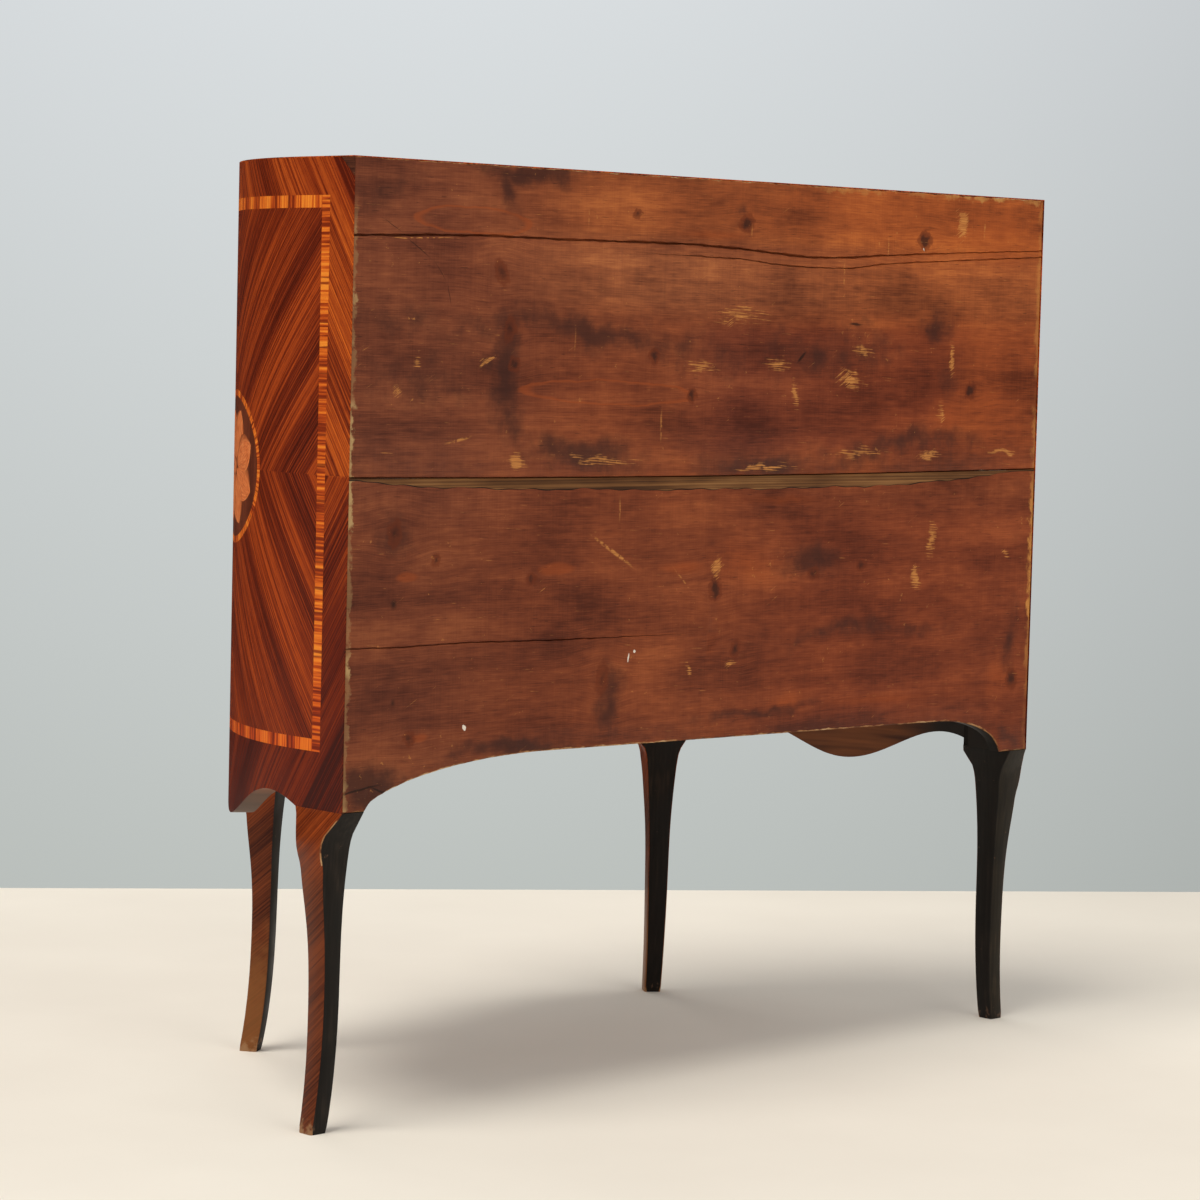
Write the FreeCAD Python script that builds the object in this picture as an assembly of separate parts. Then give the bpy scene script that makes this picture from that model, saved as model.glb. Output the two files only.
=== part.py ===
import FreeCAD, Part
import math
import os

# Demilune commode: a half-round veneered case on four cabriole legs, with three bow-fronted drawers.
# The origin is on the floor under the middle of the case, the front faces -Y and the back is flat.
# Right and left are as seen from the front, so right is +X.

Vector = FreeCAD.Vector

# Driving dimensions of the case, in millimetres
case_width = 1000.0
case_depth = 471.0
case_height = 930.0
straight_run = 70.0
end_radius = 303.0
veneer_thickness = 1.0
core_thickness = 20.0
top_thickness = 20.0
top_edge_gap = 0.3

# The back: two wide boards, nailed to the posts, with a hand-cut arch below
back_thickness = 15.0
back_joint_height = 629.0
back_joint_gap = 1.5
arch_rise_right = 44.0
arch_rise_left = 40.0
arch_sweep_right = 230.0
arch_sweep_left = 108.0
arch_foot_right = 28.0
arch_foot_left = 48.0
nail_radius = 1.6
nail_length = 38.0
nail_head_radius = 3.5
nail_head_thickness = 1.2
nail_sink = 2.0
nail_edge_distance = 45.0

# The legs: one pattern, square in section, used four times
leg_height = 312.0
leg_wing = 35.0
wing_height = 9.0
leg_top_depth = 28.0
foot_half_width = 9.5
foot_depth = 19.0
foot_flare = 10.5
# Share of the leg's height, how far the outer face stands out there and the depth of the section
leg_depth_stations = (
    (0.97, 3.0, 30.0),
    (0.93, 5.6, 31.5),
    (0.86, 7.6, 31.5),
    (0.64, 2.0, 23.0),
    (0.40, -0.5, 19.8),
    (0.15, 3.8, 19.5),
)
# Share of the leg's height and half the width of the section there
leg_width_stations = ((0.94, 23.5), (0.86, 17.6), (0.64, 13.0), (0.40, 11.6), (0.15, 10.2))
# How far each pair of feet stands out of, or along, the line of the pattern
front_leg_lean = 3.5
back_leg_lean = -3.5
back_leg_shift = 3.0
front_leg_x = 295.5
stile_half_width = 24.0
stile_depth = 45.0
post_width = 36.0
post_depth = 40.0

# The shaped aprons of the sides and the front
apron_rise = 11.5
pendant_drop = 38.5
pendant_rear_width = 123.0
pendant_front_width = 112.0
pendant_offset = 11.0

# The front: a rail, three drawers and the apron, between the two stiles
opening_half_width = 270.0
rail_height = 36.5
apron_height = 55.0
drawer_count = 3
board_thickness = 14.0
front_gap = 2.0
side_gap = 1.0
front_clearance = 1.0
run_clearance = 0.3
head_clearance = 4.0
box_setback = 8.0
box_side_thickness = 10.0
box_back_thickness = 10.0
box_bottom_thickness = 7.0
box_bottom_lift = 4.0
box_back_drop = 12.0
groove_depth = 5.0
rear_space = 25.0
guide_clearance = 0.8
guide_width = 20.0
guide_height = 14.0
stop_x = 150.0
stop_width = 30.0
stop_height = 13.0
stop_clearance = 0.5
kicker_width = 30.0
block_depth = 20.0
block_height = 20.0
block_half_angle = 4.0
block_angles = (48.0, 62.0, 76.0)

# The pulls: a round plate and post on a stud, with a ring that swings in the eye of the post
pull_x = 150.0
plate_radius = 21.0
plate_crown_radius = 15.0
plate_thickness = 2.4
post_radius = 4.6
eye_reach = 9.5
eye_ball_radius = 5.8
eye_hole_radius = 3.0
ring_radius = 19.0
ring_wire_radius = 2.0
ring_lift = 0.35
stud_radius = 2.5
stud_overrun = 6.0
nut_radius = 5.5
nut_thickness = 4.0
nut_seat_gap = 0.1

# The plan: straight runs, two end arcs and one front arc, tangent to each other
half_width = case_width / 2
back_y = case_depth / 2
curve_depth = case_depth - straight_run
front_radius = (
    (half_width ** 2 + curve_depth ** 2 - 2 * half_width * end_radius) / (2 * (curve_depth - end_radius))
)
end_centre_x = half_width - end_radius
end_centre_y = back_y - straight_run
front_centre_y = front_radius - case_depth / 2
blend_angle = math.degrees(math.atan2(end_centre_x, front_radius - curve_depth))

# Levels and faces that several pieces share
case_top = case_height - veneer_thickness
carcase_top = case_top - top_thickness
inner_inset = veneer_thickness + core_thickness
back_inner_y = back_y - back_thickness
post_front_y = back_inner_y - post_depth
opening_top = case_height - rail_height
opening_bottom = leg_height + apron_height
pitch = (opening_top - opening_bottom) / drawer_count
bottom_board_low = opening_bottom - board_thickness / 2
back_leg_y = back_y - leg_wing
leg_angle = math.degrees(math.asin(front_leg_x / front_radius))
stile_side_angle = leg_angle + math.degrees(stile_half_width / front_radius)
opening_angle = math.degrees(math.asin(opening_half_width / front_radius))
past_opening_angle = (opening_angle + leg_angle) / 2
box_half_width = opening_half_width - box_setback
box_rear_y = back_inner_y - rear_space
apron_low = leg_height + apron_rise - pendant_drop
tool_reach = 2 * case_width
drawer_names = ("lower", "middle", "upper")


def plan_point(angle, inset=0.0):
    """A point of the plan outline, moved in by inset, where the outward normal is at this angle."""
    turn = math.radians(angle)
    if abs(angle) <= blend_angle:
        centre = Vector(0, front_centre_y, 0)
        radius = front_radius - inset
    else:
        centre = Vector(math.copysign(end_centre_x, angle), end_centre_y, 0)
        radius = end_radius - inset
    return centre + Vector(radius * math.sin(turn), -radius * math.cos(turn), 0)


def plan_edges(start, end, inset):
    """The arcs of the plan outline, moved in by inset, between two normal angles."""
    inner_breaks = [a for a in (-blend_angle, blend_angle) if min(start, end) < a < max(start, end)]
    breaks = [start] + sorted(inner_breaks, reverse=start > end) + [end]
    edges = []
    for first, second in zip(breaks, breaks[1:]):
        middle = plan_point((first + second) / 2, inset)
        edges.append(Part.Arc(plan_point(first, inset), middle, plan_point(second, inset)).toShape())
    return edges


def line(first, second):
    return Part.LineSegment(first, second).toShape()


def raised(edges, low, high):
    """A solid on a closed plan outline, between two levels."""
    face = Part.Face(Part.Wire(edges))
    solid = face.extrude(Vector(0, 0, high - low))
    solid.translate(Vector(0, 0, low))
    return solid


def plan_prism(inset, rear_y, low, high):
    """The whole half-round plan, moved in by inset, as a solid that ends at rear_y."""
    right = half_width - inset
    rear_right = Vector(right, rear_y, 0)
    rear_left = Vector(-right, rear_y, 0)
    edges = [line(rear_right, plan_point(90, inset))]
    edges += plan_edges(90, -90, inset)
    edges += [line(plan_point(-90, inset), rear_left), line(rear_left, rear_right)]
    return raised(edges, low, high)


def wall(start, end, outer, inner, low, high):
    """A curved wall between two normal angles and two insets."""
    edges = plan_edges(start, end, outer)
    edges.append(line(plan_point(end, outer), plan_point(end, inner)))
    edges += plan_edges(end, start, inner)
    edges.append(line(plan_point(start, inner), plan_point(start, outer)))
    return raised(edges, low, high)


def side_wall(start, rear_y, outer, inner, low, high):
    """A wall of the right side, from a normal angle round the end arc and straight on to rear_y."""
    rear_outer = Vector(half_width - outer, rear_y, 0)
    rear_inner = Vector(half_width - inner, rear_y, 0)
    edges = plan_edges(start, 90, outer)
    edges += [line(plan_point(90, outer), rear_outer), line(rear_outer, rear_inner)]
    edges += [line(rear_inner, plan_point(90, inner))] + plan_edges(90, start, inner)
    edges.append(line(plan_point(start, inner), plan_point(start, outer)))
    return raised(edges, low, high)


def block(x_low, x_high, y_low, y_high, z_low, z_high):
    corner = Vector(x_low, y_low, z_low)
    return Part.makeBox(x_high - x_low, y_high - y_low, z_high - z_low, corner)


def mirrored(shape):
    return shape.mirror(Vector(0, 0, 0), Vector(1, 0, 0))


def set_on_plan(shape, angle, place):
    """Turn a shape made facing -Y to face along a normal angle, and move it to its place."""
    turned = shape.copy()
    turned.rotate(Vector(0, 0, 0), Vector(0, 0, 1), angle)
    turned.translate(place)
    return turned


def curve_through(points):
    curve = Part.BSplineCurve()
    curve.interpolate(points)
    return curve.toShape()


def save(name, shape):
    shape.exportStep(os.path.join("parts", name + ".step"))


def save_pair(name, shape):
    save(name + "_right", shape)
    save(name + "_left", mirrored(shape))


def leg_pattern(lean, shift):
    """One leg, standing on the floor with its outer face towards -Y: two curved profiles crossed.
    Its foot stands out by lean and along X by shift."""
    outer = []
    inner = []
    top_station = (1.0, 0.0, leg_top_depth)
    foot_station = (0.0, foot_flare, foot_depth)
    for share, out, depth in (top_station,) + leg_depth_stations + (foot_station,):
        face = -out - lean * (1 - share)
        outer.append(Vector(0, face, share * leg_height))
        inner.append(Vector(0, face + depth, share * leg_height))

    wing_share = 1 - wing_height / leg_height
    right = []
    left = []
    for share, half in ((wing_share, leg_wing),) + leg_width_stations + ((0.0, foot_half_width),):
        middle = shift * (wing_share - share)
        right.append(Vector(middle + half, 0, share * leg_height))
        left.append(Vector(middle - half, 0, share * leg_height))
    wing_end = Vector(0, 0, wing_height)

    side_view = [curve_through(outer), line(outer[-1], inner[-1])]
    side_view += [curve_through(inner[::-1]), line(inner[0], outer[0])]
    front_view = [line(right[0] + wing_end, right[0]), curve_through(right), line(right[-1], left[-1])]
    front_view += [curve_through(left[::-1]), line(left[0], left[0] + wing_end)]
    front_view.append(line(left[0] + wing_end, right[0] + wing_end))

    def prism(edges, along):
        face = Part.Face(Part.Wire(edges))
        face.translate(along * -leg_height)
        return face.extrude(along * 2 * leg_height)

    return prism(side_view, Vector(1, 0, 0)).common(prism(front_view, Vector(0, 1, 0)))


def apron_edge_level(place, start, end, rear_width, front_width):
    """Level of an apron's lower edge at a place along it, counted from the pendant's lowest point.
    start and end are the places where it meets the legs."""
    top = leg_height + apron_rise
    pendant = -rear_width if place < 0 else front_width
    meeting = start if place < 0 else end
    if abs(place) <= abs(pendant):
        return top - pendant_drop * (1 + math.cos(math.pi * place / pendant)) / 2
    share = (place - pendant) / (meeting - pendant)
    return top - apron_rise * share ** 2


def apron_tool(across, start, end, rear_width, front_width, middle, angle):
    """The space under an apron. across gives a place along its edge in the flat view from its front."""
    steps = 24
    points = []
    for step in range(steps + 1):
        place = start + (end - start) * step / steps
        level = apron_edge_level(place, start, end, rear_width, front_width)
        points.append(Vector(across(place), 0, level))
    points.sort(key=lambda point: point.x)
    first = Vector(-tool_reach, 0, leg_height)
    last = Vector(tool_reach, 0, leg_height)
    below = Vector(0, 0, -tool_reach)
    edges = [line(first, points[0]), curve_through(points), line(points[-1], last)]
    edges += [line(last, last + below), line(last + below, first + below), line(first + below, first)]
    face = Part.Face(Part.Wire(edges))
    face.translate(Vector(0, -tool_reach, 0))
    return set_on_plan(face.extrude(Vector(0, 2 * tool_reach, 0)), angle, middle)


def side_apron_tool():
    """The space under the right side's apron, between the wings of its two legs."""
    end_arc = end_radius * math.radians(90 - blend_angle)
    front_leg_run = straight_run + end_arc + front_radius * math.radians(blend_angle - leg_angle)
    pendant_run = (leg_wing + front_leg_run) / 2 - pendant_offset
    start = 2 * leg_wing - pendant_run
    end = front_leg_run - leg_wing - pendant_run

    def place(run):
        if run <= straight_run:
            return Vector(half_width, back_y - run, 0)
        if run <= straight_run + end_arc:
            return plan_point(90 - math.degrees((run - straight_run) / end_radius))
        return plan_point(blend_angle - math.degrees((run - straight_run - end_arc) / front_radius))

    middle = place(pendant_run)
    middle_angle = 90 - math.degrees((pendant_run - straight_run) / end_radius)
    along = Vector(math.cos(math.radians(middle_angle)), math.sin(math.radians(middle_angle)), 0)

    def across(distance):
        return (place(pendant_run + distance) - middle).dot(along)

    return apron_tool(across, start, end, pendant_rear_width, pendant_front_width, middle, middle_angle)


def front_apron_tool():
    """The space under the front apron, between the wings of the front legs."""
    half_span = front_radius * math.radians(leg_angle) - leg_wing

    def across(distance):
        return front_radius * math.sin(distance / front_radius)

    width = pendant_front_width
    return apron_tool(across, -half_span, half_span, width, width, plan_point(0), 0)


def back_outline():
    """The back as one flat piece seen from behind, with the arch between the legs."""
    right = half_width - veneer_thickness
    arch_right = half_width - arch_foot_right
    arch_left = -half_width + arch_foot_left
    right_spring = Vector(arch_right - arch_sweep_right, back_y, leg_height)
    left_spring = Vector(arch_left + arch_sweep_left, back_y, leg_height)

    def quarter(spring, foot_x, sweep, rise):
        crown = spring + Vector(0, 0, rise)
        part_way = math.sqrt(0.5)
        middle = spring + Vector(math.copysign(sweep, foot_x) * part_way, 0, rise * part_way)
        foot = Vector(foot_x, back_y, leg_height)
        ellipse = Part.Ellipse(crown, foot, spring) if rise > sweep else Part.Ellipse(foot, crown, spring)
        start = ellipse.parameter(foot)
        end = ellipse.parameter(crown)
        through = ellipse.parameter(middle)
        if not min(start, end) <= through <= max(start, end):
            end += math.copysign(2 * math.pi, start - end)
        return foot, crown, ellipse.toShape(min(start, end), max(start, end))

    right_foot, right_crown, right_arc = quarter(right_spring, arch_right, arch_sweep_right, arch_rise_right)
    left_foot, left_crown, left_arc = quarter(left_spring, arch_left, arch_sweep_left, arch_rise_left)
    low_right = Vector(right, back_y, leg_height)
    low_left = Vector(-right, back_y, leg_height)
    high_right = Vector(right, back_y, case_top)
    high_left = Vector(-right, back_y, case_top)
    edges = [line(low_right, right_foot), right_arc, line(right_crown, left_crown), left_arc]
    edges += [line(left_foot, low_left), line(low_left, high_left), line(high_left, high_right)]
    edges.append(line(high_right, low_right))
    face = Part.Face(Part.Wire(Part.__sortEdges__(edges)))
    return face.extrude(Vector(0, -back_thickness, 0))


def nails(sink):
    """The nails that hold the back boards to the posts, with their heads this far under the face."""
    post_middle = half_width - veneer_thickness - post_width / 2
    joint_low = back_joint_height - nail_edge_distance
    joint_high = back_joint_height + nail_edge_distance
    lowest = leg_height + nail_edge_distance
    highest = carcase_top - nail_edge_distance
    levels = [lowest, (lowest + joint_low) / 2, joint_low, joint_high, (joint_high + highest) / 2, highest]
    inward = Vector(0, -1, 0)
    head_end = nail_sink + nail_head_thickness
    solids = []
    for level in levels:
        for x in (-post_middle, post_middle):
            place = Vector(x, back_y - sink, level)
            shank = Part.makeCylinder(nail_radius, nail_length - sink, place, inward)
            head = Part.makeCylinder(nail_head_radius, head_end - sink, place, inward)
            solids.append(shank.fuse(head).removeSplitter())
    return Part.makeCompound(solids)


def back_post():
    x_high = half_width - veneer_thickness
    return block(x_high - post_width, x_high, post_front_y, back_inner_y, leg_height, carcase_top)


def front_stile():
    """The right front leg's part inside the case, flat on the drawers' side."""
    start = past_opening_angle / 2
    sector = wall(start, stile_side_angle, veneer_thickness, stile_depth, leg_height, carcase_top)
    keep = block(opening_half_width, case_width, -case_depth, case_depth, leg_height, carcase_top)
    return sector.common(keep)


def front_strip(outer, inner, half, low, high):
    """A curved strip of the front between two insets, cut off square at each end."""
    reach = math.degrees(math.asin(half / (front_radius - inner))) + 2
    strip = wall(-reach, reach, outer, inner, low, high)
    return strip.common(block(-half, half, -case_depth, case_depth, low, high))


def case_board(low, high, corner_pieces):
    """A half-round board inside the case, clear of the drawer fronts, fitted round posts and stiles."""
    board = plan_prism(inner_inset, back_inner_y, low, high)
    clear_inset = inner_inset + front_clearance
    board = board.cut(front_strip(veneer_thickness, clear_inset, opening_half_width, low, high))
    for piece in corner_pieces:
        board = board.cut(piece)
    return board


def glue_blocks():
    """Blocks in the angles between the side panels and the top and bottom boards."""
    inner = inner_inset + block_depth
    solids = []
    for angle in block_angles:
        for low in (carcase_top - block_height, bottom_board_low - block_height):
            start = angle - block_half_angle
            end = angle + block_half_angle
            piece = wall(start, end, inner_inset, inner, low, low + block_height)
            solids += [piece, mirrored(piece)]
    return Part.makeCompound(solids)


def guide(board_top):
    """A strip beside the right side of a drawer, from the stile to the back."""
    inner_x = box_half_width + guide_clearance
    outer_x = inner_x + guide_width
    top = board_top + guide_height
    strip = block(inner_x, outer_x, -case_depth, back_inner_y, board_top, top)
    return strip.common(plan_prism(stile_depth, back_y, board_top, top))


def kickers():
    """Strips under the top board that keep the top drawer level when it is pulled out."""
    low = opening_top - board_thickness / 2
    x_high = box_half_width + guide_clearance
    strip = block(x_high - kicker_width, x_high, -case_depth, back_inner_y, low, carcase_top)
    strip = strip.common(plan_prism(inner_inset + front_clearance, back_y, low, carcase_top))
    return Part.makeCompound([strip, mirrored(strip)])


def drawer_stops():
    solids = []
    for index in range(drawer_count):
        low = opening_bottom + index * pitch + board_thickness / 2
        for x in (-stop_x, stop_x):
            x_low = x - stop_width / 2
            front = box_rear_y + stop_clearance
            solids.append(block(x_low, x_low + stop_width, front, back_inner_y, low, low + stop_height))
    return Part.makeCompound(solids)


def pull_mount():
    """Plate, post, eye and stud of one pull, turned about Y on a face at the origin, facing -Y."""
    neck = math.sqrt(eye_ball_radius ** 2 - post_radius ** 2)
    half_turn = math.sqrt(0.5) * eye_ball_radius
    ball_side = Vector(post_radius, neck - eye_reach, 0)
    ball_turn = Vector(half_turn, -eye_reach - half_turn, 0)
    ball_end = Vector(0, -eye_reach - eye_ball_radius, 0)
    stud_end = inner_inset + stud_overrun
    corners = [
        ball_end,
        Vector(0, stud_end, 0),
        Vector(stud_radius, stud_end, 0),
        Vector(stud_radius, 0, 0),
        Vector(plate_radius, 0, 0),
        Vector(plate_crown_radius, -plate_thickness, 0),
        Vector(post_radius, -plate_thickness, 0),
        ball_side,
    ]
    edges = [line(first, second) for first, second in zip(corners, corners[1:])]
    edges.append(Part.Arc(ball_side, ball_turn, ball_end).toShape())
    face = Part.Face(Part.Wire(edges))
    mount = face.revolve(Vector(0, 0, 0), Vector(0, 1, 0), 360)
    hole_start = Vector(-plate_radius, -eye_reach, 0)
    return mount.cut(Part.makeCylinder(eye_hole_radius, 2 * plate_radius, hole_start, Vector(1, 0, 0)))


def pull_nut():
    seat = Vector(0, inner_inset + nut_seat_gap, 0)
    inward = Vector(0, 1, 0)
    corners = []
    for corner in range(7):
        turn = math.radians(60 * corner)
        corners.append(seat + Vector(nut_radius * math.cos(turn), 0, nut_radius * math.sin(turn)))
    nut = Part.Face(Part.makePolygon(corners)).extrude(inward * nut_thickness)
    return nut.cut(Part.makeCylinder(stud_radius, nut_thickness, seat, inward))


def pull_ring():
    centre = Vector(0, -eye_reach, ring_lift - ring_radius)
    return Part.makeTorus(ring_radius, ring_wire_radius, centre, Vector(0, 1, 0))


def make_drawer(index):
    """One drawer: bowed front with its veneer, a box behind it, and two pulls."""
    name = "drawer_" + drawer_names[index]
    front_low = opening_bottom + index * pitch + front_gap / 2
    front_high = opening_bottom + (index + 1) * pitch - front_gap / 2
    box_low = opening_bottom + index * pitch + board_thickness / 2 + run_clearance
    box_high = opening_bottom + (index + 1) * pitch - board_thickness / 2 - head_clearance
    front_half = opening_half_width - side_gap
    inner_half = box_half_width - box_side_thickness
    inner_rear_y = box_rear_y - box_back_thickness
    inside = plan_prism(inner_inset, back_y, box_low, box_high)

    bottom_low = box_low + box_bottom_lift
    bottom_high = bottom_low + box_bottom_thickness
    bottom_half = inner_half + groove_depth
    bottom = block(-bottom_half, bottom_half, -case_depth, box_rear_y, bottom_low, bottom_high).common(inside)
    side = block(inner_half, box_half_width, -case_depth, box_rear_y, box_low, box_high).common(inside)
    side = side.cut(bottom)
    back_high = box_high - box_back_drop
    back = block(-inner_half, inner_half, inner_rear_y, box_rear_y, bottom_high, back_high)

    core = front_strip(veneer_thickness, inner_inset, front_half, front_low, front_high)
    skin = front_strip(0.0, veneer_thickness, front_half, front_low, front_high)
    pull_angle = math.degrees(math.asin(pull_x / front_radius))
    pull_place = plan_point(pull_angle) + Vector(0, 0, (front_low + front_high) / 2)
    mount = set_on_plan(pull_mount(), pull_angle, pull_place)
    nut = set_on_plan(pull_nut(), pull_angle, pull_place)
    for stud in (mount, mirrored(mount)):
        core = core.cut(stud)
        skin = skin.cut(stud)

    save(name + "_front", core)
    save(name + "_front_veneer", skin)
    save_pair(name + "_side", side)
    save(name + "_back", back)
    save(name + "_bottom", bottom)
    save(name + "_pull_mounts", Part.makeCompound([mount, mirrored(mount)]))
    save(name + "_pull_nuts", Part.makeCompound([nut, mirrored(nut)]))
    save_pair(name + "_ring", set_on_plan(pull_ring(), pull_angle, pull_place))


def make_case():
    """Everything that stands still."""
    post = back_post()
    stile = front_stile()
    nail_holes = nails(0.0)
    corner_pieces = [post, mirrored(post), stile, mirrored(stile)]

    back_leg = set_on_plan(leg_pattern(back_leg_lean, -back_leg_shift), 90, Vector(half_width, back_leg_y, 0))
    back_leg = back_leg.fuse(post).cut(nail_holes)
    front_leg = set_on_plan(leg_pattern(front_leg_lean, 0.0), leg_angle, plan_point(leg_angle)).fuse(stile)
    save_pair("back_leg", back_leg)
    save_pair("front_leg", front_leg)

    under_side = side_apron_tool()
    skin = veneer_thickness
    side_core = side_wall(stile_side_angle, post_front_y, skin, inner_inset, apron_low, carcase_top)
    side_skin = side_wall(past_opening_angle / 2, back_y, 0.0, skin, apron_low, case_top)
    side_skin = side_skin.cut(block(0, opening_half_width, -case_depth, case_depth, apron_low, case_top))
    save_pair("side_panel", side_core.cut(under_side))
    save_pair("side_veneer", side_skin.cut(under_side))

    top_inset = veneer_thickness + top_edge_gap
    save("top_board", plan_prism(top_inset, back_inner_y, carcase_top, case_top))
    save("top_veneer", plan_prism(0.0, back_y, case_top, case_height))

    back = back_outline().cut(nail_holes)
    joint_low = back_joint_height - back_joint_gap / 2
    joint_high = back_joint_height + back_joint_gap / 2
    upper_part = block(-case_width, case_width, 0, case_depth, joint_high, case_height)
    lower_part = block(-case_width, case_width, 0, case_depth, 0, joint_low)
    save("back_board_upper", back.common(upper_part))
    save("back_board_lower", back.common(lower_part))
    save("back_nails", nails(nail_sink))

    under_front = front_apron_tool()
    rail = front_strip(veneer_thickness, inner_inset, opening_half_width, opening_top, carcase_top)
    rail_skin = front_strip(0.0, veneer_thickness, opening_half_width, opening_top, case_top)
    apron = front_strip(veneer_thickness, inner_inset, opening_half_width, apron_low, opening_bottom)
    apron_skin = front_strip(0.0, veneer_thickness, opening_half_width, apron_low, opening_bottom)
    save("front_rail", rail)
    save("front_rail_veneer", rail_skin)
    save("front_apron", apron.cut(under_front))
    save("front_apron_veneer", apron_skin.cut(under_front))

    for index, name in enumerate(("bottom_board", "dust_board_lower", "dust_board_upper")):
        low = bottom_board_low + index * pitch
        save(name, case_board(low, low + board_thickness, corner_pieces))
        save_pair("drawer_guide_" + drawer_names[index], guide(low + board_thickness))
    save("drawer_stops", drawer_stops())
    save("drawer_kickers", kickers())
    save("glue_blocks", glue_blocks())


os.makedirs("parts", exist_ok=True)
make_case()
for number in range(drawer_count):
    make_drawer(number)
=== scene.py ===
import math

import bmesh
import bpy
from mathutils import Matrix, Vector

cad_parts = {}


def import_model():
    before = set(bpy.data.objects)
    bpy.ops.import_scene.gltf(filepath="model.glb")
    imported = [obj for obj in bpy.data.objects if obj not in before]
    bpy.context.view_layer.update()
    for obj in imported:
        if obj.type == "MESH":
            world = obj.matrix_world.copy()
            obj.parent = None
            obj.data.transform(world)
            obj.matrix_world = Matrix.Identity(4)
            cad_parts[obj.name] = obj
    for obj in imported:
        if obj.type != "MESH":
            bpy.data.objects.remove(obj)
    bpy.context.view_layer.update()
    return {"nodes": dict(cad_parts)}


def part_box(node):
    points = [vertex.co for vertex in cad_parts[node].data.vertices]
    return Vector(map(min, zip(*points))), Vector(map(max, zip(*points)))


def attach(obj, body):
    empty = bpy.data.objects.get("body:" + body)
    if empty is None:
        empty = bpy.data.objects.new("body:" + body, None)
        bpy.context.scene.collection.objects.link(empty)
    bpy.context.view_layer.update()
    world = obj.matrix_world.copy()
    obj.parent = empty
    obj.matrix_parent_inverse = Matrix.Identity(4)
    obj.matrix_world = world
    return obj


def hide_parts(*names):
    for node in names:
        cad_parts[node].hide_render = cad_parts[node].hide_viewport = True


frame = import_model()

# Demilune commode, seen from behind. All sizes are in metres, in the frame of the CAD model:
# the front faces -Y, the back is flat, and right is +X as seen from the front.

scene = bpy.context.scene
nodes = frame["nodes"]

# Plan of the case: straight runs at the back, two end arcs and one front arc
HALF_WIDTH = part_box("top_veneer")[1].x
FRONT_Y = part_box("top_veneer")[0].y
BACK_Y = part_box("top_veneer")[1].y
CASE_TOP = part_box("top_veneer")[1].z
SKIN = CASE_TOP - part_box("top_veneer")[0].z
STRAIGHT_RUN = 0.070
END_RADIUS = 0.303
CURVE_DEPTH = BACK_Y - FRONT_Y - STRAIGHT_RUN
FRONT_RADIUS = HALF_WIDTH ** 2 + CURVE_DEPTH ** 2 - 2 * HALF_WIDTH * END_RADIUS
FRONT_RADIUS /= 2 * (CURVE_DEPTH - END_RADIUS)
END_CENTRE = Vector((HALF_WIDTH - END_RADIUS, BACK_Y - STRAIGHT_RUN, 0))
FRONT_CENTRE = Vector((0, FRONT_Y + FRONT_RADIUS, 0))
BLEND_ANGLE = math.atan2(END_CENTRE.x, FRONT_RADIUS - CURVE_DEPTH)
END_ARC = END_RADIUS * (math.pi / 2 - BLEND_ANGLE)
FRONT_ARC = FRONT_RADIUS * BLEND_ANGLE
HALF_RUN = STRAIGHT_RUN + END_ARC + FRONT_ARC

# Levels and half width that the veneers share
SKIN_TOP = CASE_TOP - SKIN
LEG_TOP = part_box("back_board_lower")[0].z
OPENING_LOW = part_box("front_apron_veneer")[1].z
OPENING_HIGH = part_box("front_rail_veneer")[0].z
OPENING_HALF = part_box("front_rail_veneer")[1].x
MATCH_LEVEL = 0.630

# Marquetry
BORDER_WIDTH = 0.0345
BAND_WIDTH = 0.0118
FIELD_TURN = math.radians(49)
LOWER_FIELD_TURN = math.radians(55)
RAIL_TURN = math.radians(-40)
BORDER_TURN = math.radians(-56)
MEDALLION_RUN = 0.238
MEDALLION_ACROSS = 0.091
MEDALLION_HIGH = 0.076
MEDALLION_RING = 0.0065
ROSETTE_REACH = 0.060
ROSETTE_STRETCH = MEDALLION_ACROSS / MEDALLION_HIGH
ROSETTE_EYE = 0.16 * ROSETTE_REACH
PETALS = 8
PETAL_START = 0.12 * ROSETTE_REACH
PETAL_HALF_WIDTH = 0.80 * math.pi * ROSETTE_REACH / PETALS
PETAL_LEAN = 1.3
PETAL_ROUNDNESS = 0.8
PETAL_SHIFT = 3.0
PETAL_ROWS = 6
PETAL_PARTS = 16
RING_PARTS = 96
GROUND_PARTS = 48
EYE_PARTS = 24
FRONT_BORDER = 0.020
TOP_BORDER_TURN = math.radians(52)
TOP_SHIFT = 0.010
PROUD = 0.00015
TOP_EDGE = 0.0003
MATCH_SHIFT = 0.0137
COLUMN_STEP = 0.007
SAME_PLACE = 1e-6
SAME_VERTEX = 1e-7
THINNEST = 1e-5
FIELD_MARGIN = 1e-4
WHOLE = (-9.0, 9.0)

# The photograph's camera
CAMERA_PLACE = Vector((2.6968, BACK_Y + 2.6541, 0.7767))
CAMERA_YAW = 3.9023
CAMERA_PITCH = -0.0744
CAMERA_ROLL = -0.0250
SENSOR = 36.0
LENS = 110.1


def blend_value(low, high, share):
    return low + (high - low) * share


def smooth_step(value, low, high):
    share = min(max((value - low) / (high - low), 0.0), 1.0)
    return share * share * (3 - 2 * share)


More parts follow.
